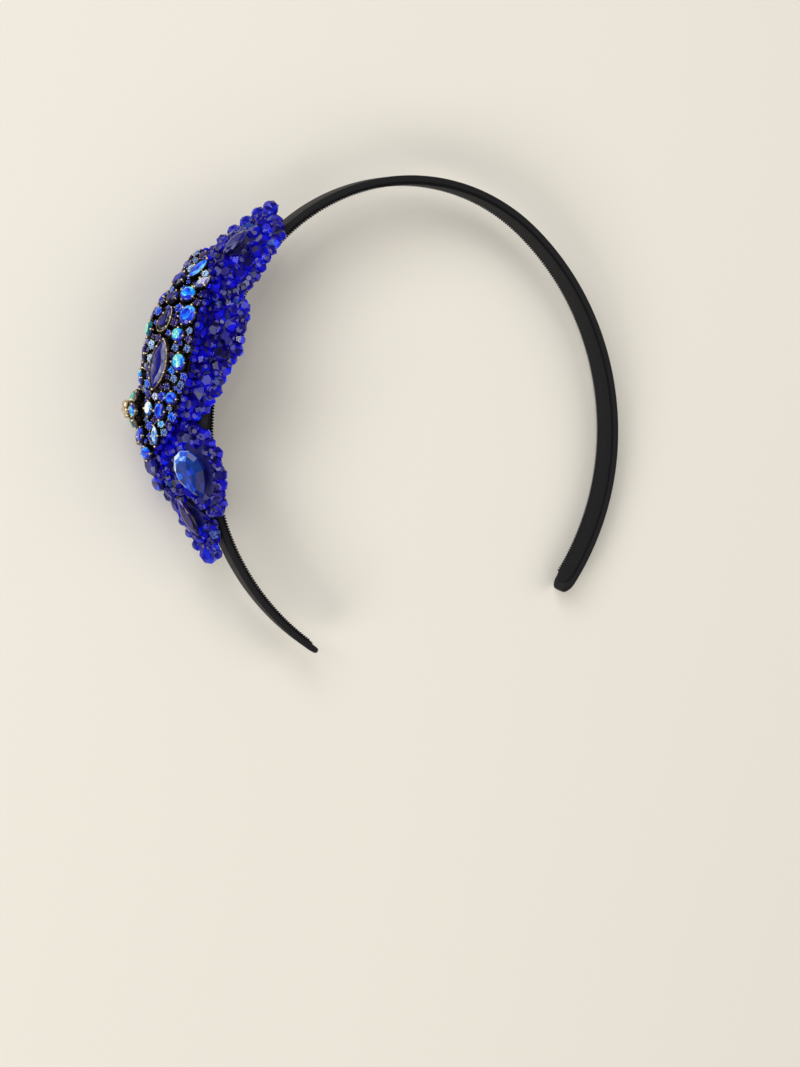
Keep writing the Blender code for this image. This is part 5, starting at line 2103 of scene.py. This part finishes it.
@dataclass
class Brooch:
    """The jewelled brooch: a plate, cut stones in cups and claws, and a raised flower."""

    items: Items
    cutter: StoneCutter = StoneCutter()
    setting: Setting = Setting()
    depth_share: float = 0.46
    back_share: float = 0.70
    seat_depth: float = 1.4
    plate_inset: float = 0.7
    area: tuple[Place, Place] = ((58.0, 114.0), (-14.0, 14.0))
    small_sizes: tuple[tuple[float, int], ...] = ((3.0, 1600), (2.5, 2600), (2.0, 3600), (1.5, 3600))
    small_lift: float = 0.5
    small_drop: float = 0.7
    small_claw: float = 0.32
    small_claw_out: float = 0.98
    small_claw_up: float = 0.28
    listed_slack: float = -0.45
    free_slack: float = -0.18
    edge_pitch: float = 2.3
    flower: Place = (102.8, -4.6)
    flower_clear: float = 4.8
    cup_radius: float = 4.4
    cup_height: float = 2.0
    ring_radius: float = 4.2
    ring_stone: float = 3.7
    ring_lean: float = 34.0
    ball_ring: float = 1.8
    ball: float = 1.25 * MM
    metal: list[Object] = field(default_factory=list)
    claws: list[Spot] = field(default_factory=list)
    small: list[SmallStone] = field(default_factory=list)

    @staticmethod
    def plate_bottom(along: float, across: float) -> float:
        """Return the height of the plate's underside."""
        return PETAL_DOME.height(along, across) + PETAL_CROWN + SEAT_MARGIN

    def plate_top(self, along: float, across: float, share_out: float = 0.0) -> float:
        """Return the height of the plate's upper face."""
        lowest = self.plate_bottom(along, across) + PLATE_THICKNESS
        return max(lowest, BROOCH_DOME.height(along, across) - PLATE_BELOW_STONES)

    def build(self) -> None:
        """Build the brooch."""
        pad = Pad(PLATE_OUTLINE, self.plate_top, self.plate_bottom, self.plate_inset)
        self.metal.append(link("brooch_plate", pad.mesh(96, 28), Metal.GUNMETAL))
        for number, stone in enumerate(BROOCH_STONES):
            wanted = BROOCH_DOME.height(stone.along, stone.across) - stone.width * self.depth_share
            lowest = self.plate_bottom(stone.along, stone.across) + self.seat_depth
            frame = BROOCH_DOME.frame(stone.along, stone.across, max(wanted, lowest) + GAP)
            seat = frame @ Matrix.Rotation(radians(stone.turn), 4, "Z")
            self.set_stone(stone, seat, 400 + number, stone.node in RIMMED_STONES)
        self.build_small_stones()
        self.build_raised_flower()
        self.metal.append(self.items.on_spots("brooch_claws", self.claws, self.items.claw, Metal.GOLD))
        place_piece(join("brooch_metalwork", self.metal), "antique_gold", "brooch_frame")

    def set_stone(self, stone: Stone, seat: Matrix, seed: int, rimmed: bool) -> None:
        """Cut one stone and build its cup and claws.

        Args:
            stone: The stone.
            seat: The frame of its back.
            seed: The seed of its facets and claws.
            rimmed: Whether it has a bright rim.
        """
        held = SetStone(stone, stone.width * self.depth_share, seat, seed)
        self.cutter.cut(held, self.back_share)
        if rimmed:
            self.metal.append(self.setting.ring(held, "rim", self.setting.rim, Metal.BRONZE))
        self.metal.append(self.setting.ring(held, "cup", self.setting.cup, Metal.GUNMETAL))
        self.claws.extend(self.setting.claws(held))

    def fits(self, stone: SmallStone, slack: float) -> bool:
        """Find out whether a small stone has room at its place.

        Args:
            stone: The small stone.
            slack: Its least distance from the others in mm, negative where they may overlap.

        Returns:
            Whether it fits.
        """
        along, across, radius = stone.along, stone.across, stone.size / 2
        if PLATE_OUTLINE.depth(along, across) < 0.5 - radius * 0.2:
            return False
        if hypot(along - self.flower[0], across - self.flower[1]) < self.flower_clear + radius:
            return False
        if any(signed_distance(line, along, across) > -radius - slack for line in BROOCH_GIRDLES):
            return False
        return all(
            hypot(along - other.along, across - other.across) > radius + other.size / 2 + slack
            for other in self.small
        )

    def choose_small_stones(self) -> None:
        """Choose the small stones: those that the photo shows, then others in the free places."""
        draw = Random(23)
        for wanted in SMALL_STONES:
            if self.fits(wanted, self.listed_slack):
                self.small.append(wanted)
        for size, attempts in self.small_sizes:
            for _ in range(attempts):
                place = [draw.uniform(*span) for span in self.area]
                trial = SmallStone(*place, size, Glass.SAPPHIRE)
                if self.fits(trial, self.free_slack):
                    self.small.append(replace(trial, glass=draw.choice(SMALL_GLASSES)))

    def build_small_stones(self) -> None:
        """Build the small stones with their cups and claws, and the row of beads round them."""
        draw = Random(29)
        by_glass: dict[Glass, list[Spot]] = {}
        cups: list[Spot] = []
        self.choose_small_stones()
        for stone in self.small:
            low = self.plate_top(stone.along, stone.across) + self.small_lift
            high = BROOCH_DOME.height(stone.along, stone.across) - self.small_lift
            height = max(low, high - draw.uniform(0.0, self.small_drop))
            frame = BROOCH_DOME.frame(stone.along, stone.across, height)
            frame = frame @ Matrix.Rotation(draw.uniform(0.0, 1.0), 4, "Z")
            size = stone.size / 2 * MM
            by_glass.setdefault(stone.glass, []).append(Spot(frame, (size,) * 3, draw.random()))
            cups.append(Spot(frame, (size,) * 3, draw.random()))
            out = Matrix.Translation(Vector((size * self.small_claw_out, 0.0, size * self.small_claw_up)))
            claw = (size * self.small_claw,) * 3
            for corner in range(4):
                turn = Matrix.Rotation(pi / 2 * corner, 4, "Z")
                self.claws.append(Spot(frame @ turn @ out, claw, draw.random()))
        parts = [self.edge_beads()]
        for glass, spots in by_glass.items():
            label = "chatons_" + glass.name.lower()
            parts.append(self.items.on_spots(label, spots, self.items.chaton, glass))
        LOG.info("small stones: %d", len(cups))
        place_piece(join("brooch_small_stones", parts), "sapphire")
        self.metal.append(self.items.on_spots("small_cups", cups, self.items.small_cup, Metal.GUNMETAL))

    def edge_beads(self) -> Object:
        """Build the row of beads that hides the plate's edge, kept to the darker tones as a painted shade
        under the plate's edge.

        Returns:
            The beads.
        """
        draw = Random(31)
        spots = []
        for along, across in evenly_spaced(PLATE_OUTLINE.line, self.edge_pitch):
            low, high = self.plate_bottom(along, across), self.plate_top(along, across)
            frame = BROOCH_DOME.frame(along, across, low + (high - low) * draw.uniform(0.15, 0.75))
            frame = frame @ Matrix.Rotation(draw.uniform(0.0, tau), 4, (0.6, 0.0, 0.8))
            # the tint is kept low, a painted shade for the beads under the plate's edge
            spots.append(Spot(frame, (draw.uniform(1.15, 1.6) * MM,) * 3, draw.uniform(0.0, 0.7)))
        return self.items.on_spots("edge_beads", spots, self.items.round_bead, Glass.BEAD)

    def build_raised_flower(self) -> None:
        """Build the raised flower: its cup, its ring of stones, its stem and its gold balls."""
        seat = BROOCH_DOME.frame(*self.flower, self.plate_top(*self.flower))
        radius, top = self.cup_radius, self.cup_height
        profile = (
            (radius - 1.4, -0.6), (radius - 0.9, 0.4), (radius, top - 0.35), (radius + 0.1, top),
            (radius - 0.5, top + 0.02), (0.3, top - 0.5),
        )
        self.turn_metal("raised_cup", profile, seat, 36, Metal.BRONZE)
        stem = ((1.3, top - 1.0), (1.15, top + 1.0), (1.2, 5.0), (0.5, 5.35))
        self.turn_metal("raised_stem", stem, seat, 16, Metal.GOLD)
        out = Matrix.Translation(Vector((self.ring_radius, 0.0, top + GAP)) * MM)
        lean = Matrix.Rotation(radians(self.ring_lean), 4, "Y")
        for number in range(6):
            turn = Matrix.Rotation(tau * (number + 0.5) / 6, 4, "Z")
            glass = Glass.RAINBOW_BLUE if number % 2 else Glass.EMERALD
            name = f"raised_flower_stone_{number + 1}"
            stone = Stone(name, *self.flower, self.ring_stone, self.ring_stone, glass)
            self.set_stone(stone, seat @ turn @ out @ lean, 500 + number, True)
        balls = []
        for number in range(5):
            turn = tau * number / 5
            place = cos(turn) * self.ball_ring, sin(turn) * self.ball_ring, 5.0 + 0.24 * number
            frame = seat @ Matrix.Translation(Vector(place) * MM)
            balls.append(Spot(frame, (self.ball,) * 3, number / 5))
        self.metal.append(self.items.on_spots("raised_balls", balls, self.items.ball, Metal.GOLD))

    def turn_metal(self, name: str, profile: Sequence[Place], seat: Matrix, sides: int,
                   metal: Metal) -> None:
        """Add a round piece of metal, turned from radii with heights in mm over its seat."""
        rings = [[seat @ (point * MM) for point in circle(*level, sides)] for level in profile]
        self.metal.append(link(name, closed_tube(rings, 40.0), metal))


# The studio


@dataclass(frozen=True)
class SoftLight:
    """A rectangular light: its place, its size in metres, its power and its colour."""

    name: str
    place: Triple
    size: Place
    power: float
    colour: Colour = (1.0, 1.0, 1.0)


@dataclass(frozen=True)
class Studio:
    """The floor, the lights and the camera at the photo's viewing angle."""

    camera_place: Triple = (-0.140913, 0.049081, 0.516336)
    camera_turn: Triple = (-7.163, -16.9244, -9.32)
    lens: float = 53.98
    aim: Triple = (-0.03, 0.0, 0.02)
    floor_size: float = 6.0
    lights: tuple[SoftLight, ...] = (
        SoftLight("window_above", (-0.55, 0.95, 1.15), (1.2, 1.0), 14.0, (0.98, 0.99, 1.0)),
        SoftLight("window_left", (-1.1, -0.45, 0.85), (0.7, 0.7), 7.0, (1.0, 0.99, 0.97)),
        SoftLight("fill_right", (1.0, -0.1, 1.3), (1.3, 1.3), 7.6, (1.0, 0.98, 0.95)),
        SoftLight("fill_below", (0.1, -1.1, 1.2), (1.3, 1.0), 4.4, (1.0, 0.99, 0.97)),
        SoftLight("spark", (-0.30, 0.35, 1.40), (0.05, 0.05), 0.7),
    )
    world_light: float = 0.22

    def build(self) -> None:
        """Build the studio."""
        self.build_floor()
        for light in self.lights:
            self.build_light(light)
        self.build_camera()
        scene = bpy.context.scene
        scene.view_settings.view_transform = "Standard"
        scene.world = bpy.data.worlds.new("studio_world")
        scene.world.use_nodes = True
        shader = scene.world.node_tree.nodes["Background"]
        shader.inputs["Color"].default_value = (1.0, 0.98, 0.95, 1.0)
        shader.inputs["Strength"].default_value = self.world_light

    def build_floor(self) -> None:
        """Build the pale floor."""
        half = self.floor_size / 2
        corners = [Vector((x * half, y * half, 0.0)) for x, y in ((-1, -1), (1, -1), (1, 1), (-1, 1))]
        floor = link("floor", mesh_of(corners, [(0, 1, 2, 3)]), FloorFinish())

    def build_light(self, light: SoftLight) -> None:
        """Build one light that faces the headpiece.

        Args:
            light: The light.
        """
        data = bpy.data.lights.new(light.name, "AREA")
        data.shape = "RECTANGLE"
        data.size, data.size_y = light.size
        data.energy = light.power
        data.color = light.colour
        lamp = bpy.data.objects.new(light.name, data)
        lamp.location = light.place
        facing = Vector(self.aim) - Vector(light.place)
        lamp.rotation_euler = facing.to_track_quat("-Z", "Y").to_euler()
        bpy.context.scene.collection.objects.link(lamp)

    def build_camera(self) -> None:
        """Build the camera."""
        data = bpy.data.cameras.new("photo_camera")
        data.lens = self.lens
        data.sensor_width = 36.0
        data.sensor_fit = "AUTO"
        camera = bpy.data.objects.new("photo_camera", data)
        camera.location = self.camera_place
        camera.rotation_euler = [radians(angle) for angle in self.camera_turn]
        bpy.context.scene.collection.objects.link(camera)
        bpy.context.scene.camera = camera


def main() -> None:
    logging.basicConfig(level=logging.INFO, format="%(message)s")
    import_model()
    items = Items()
    HairBand(items).build()
    FeltBacking(items).build()
    BeadedPetals(items).build()
    SewnStones().build()
    Brooch(items).build()
    items.clear()
    Studio().build()


if __name__ == "__main__":
    main()
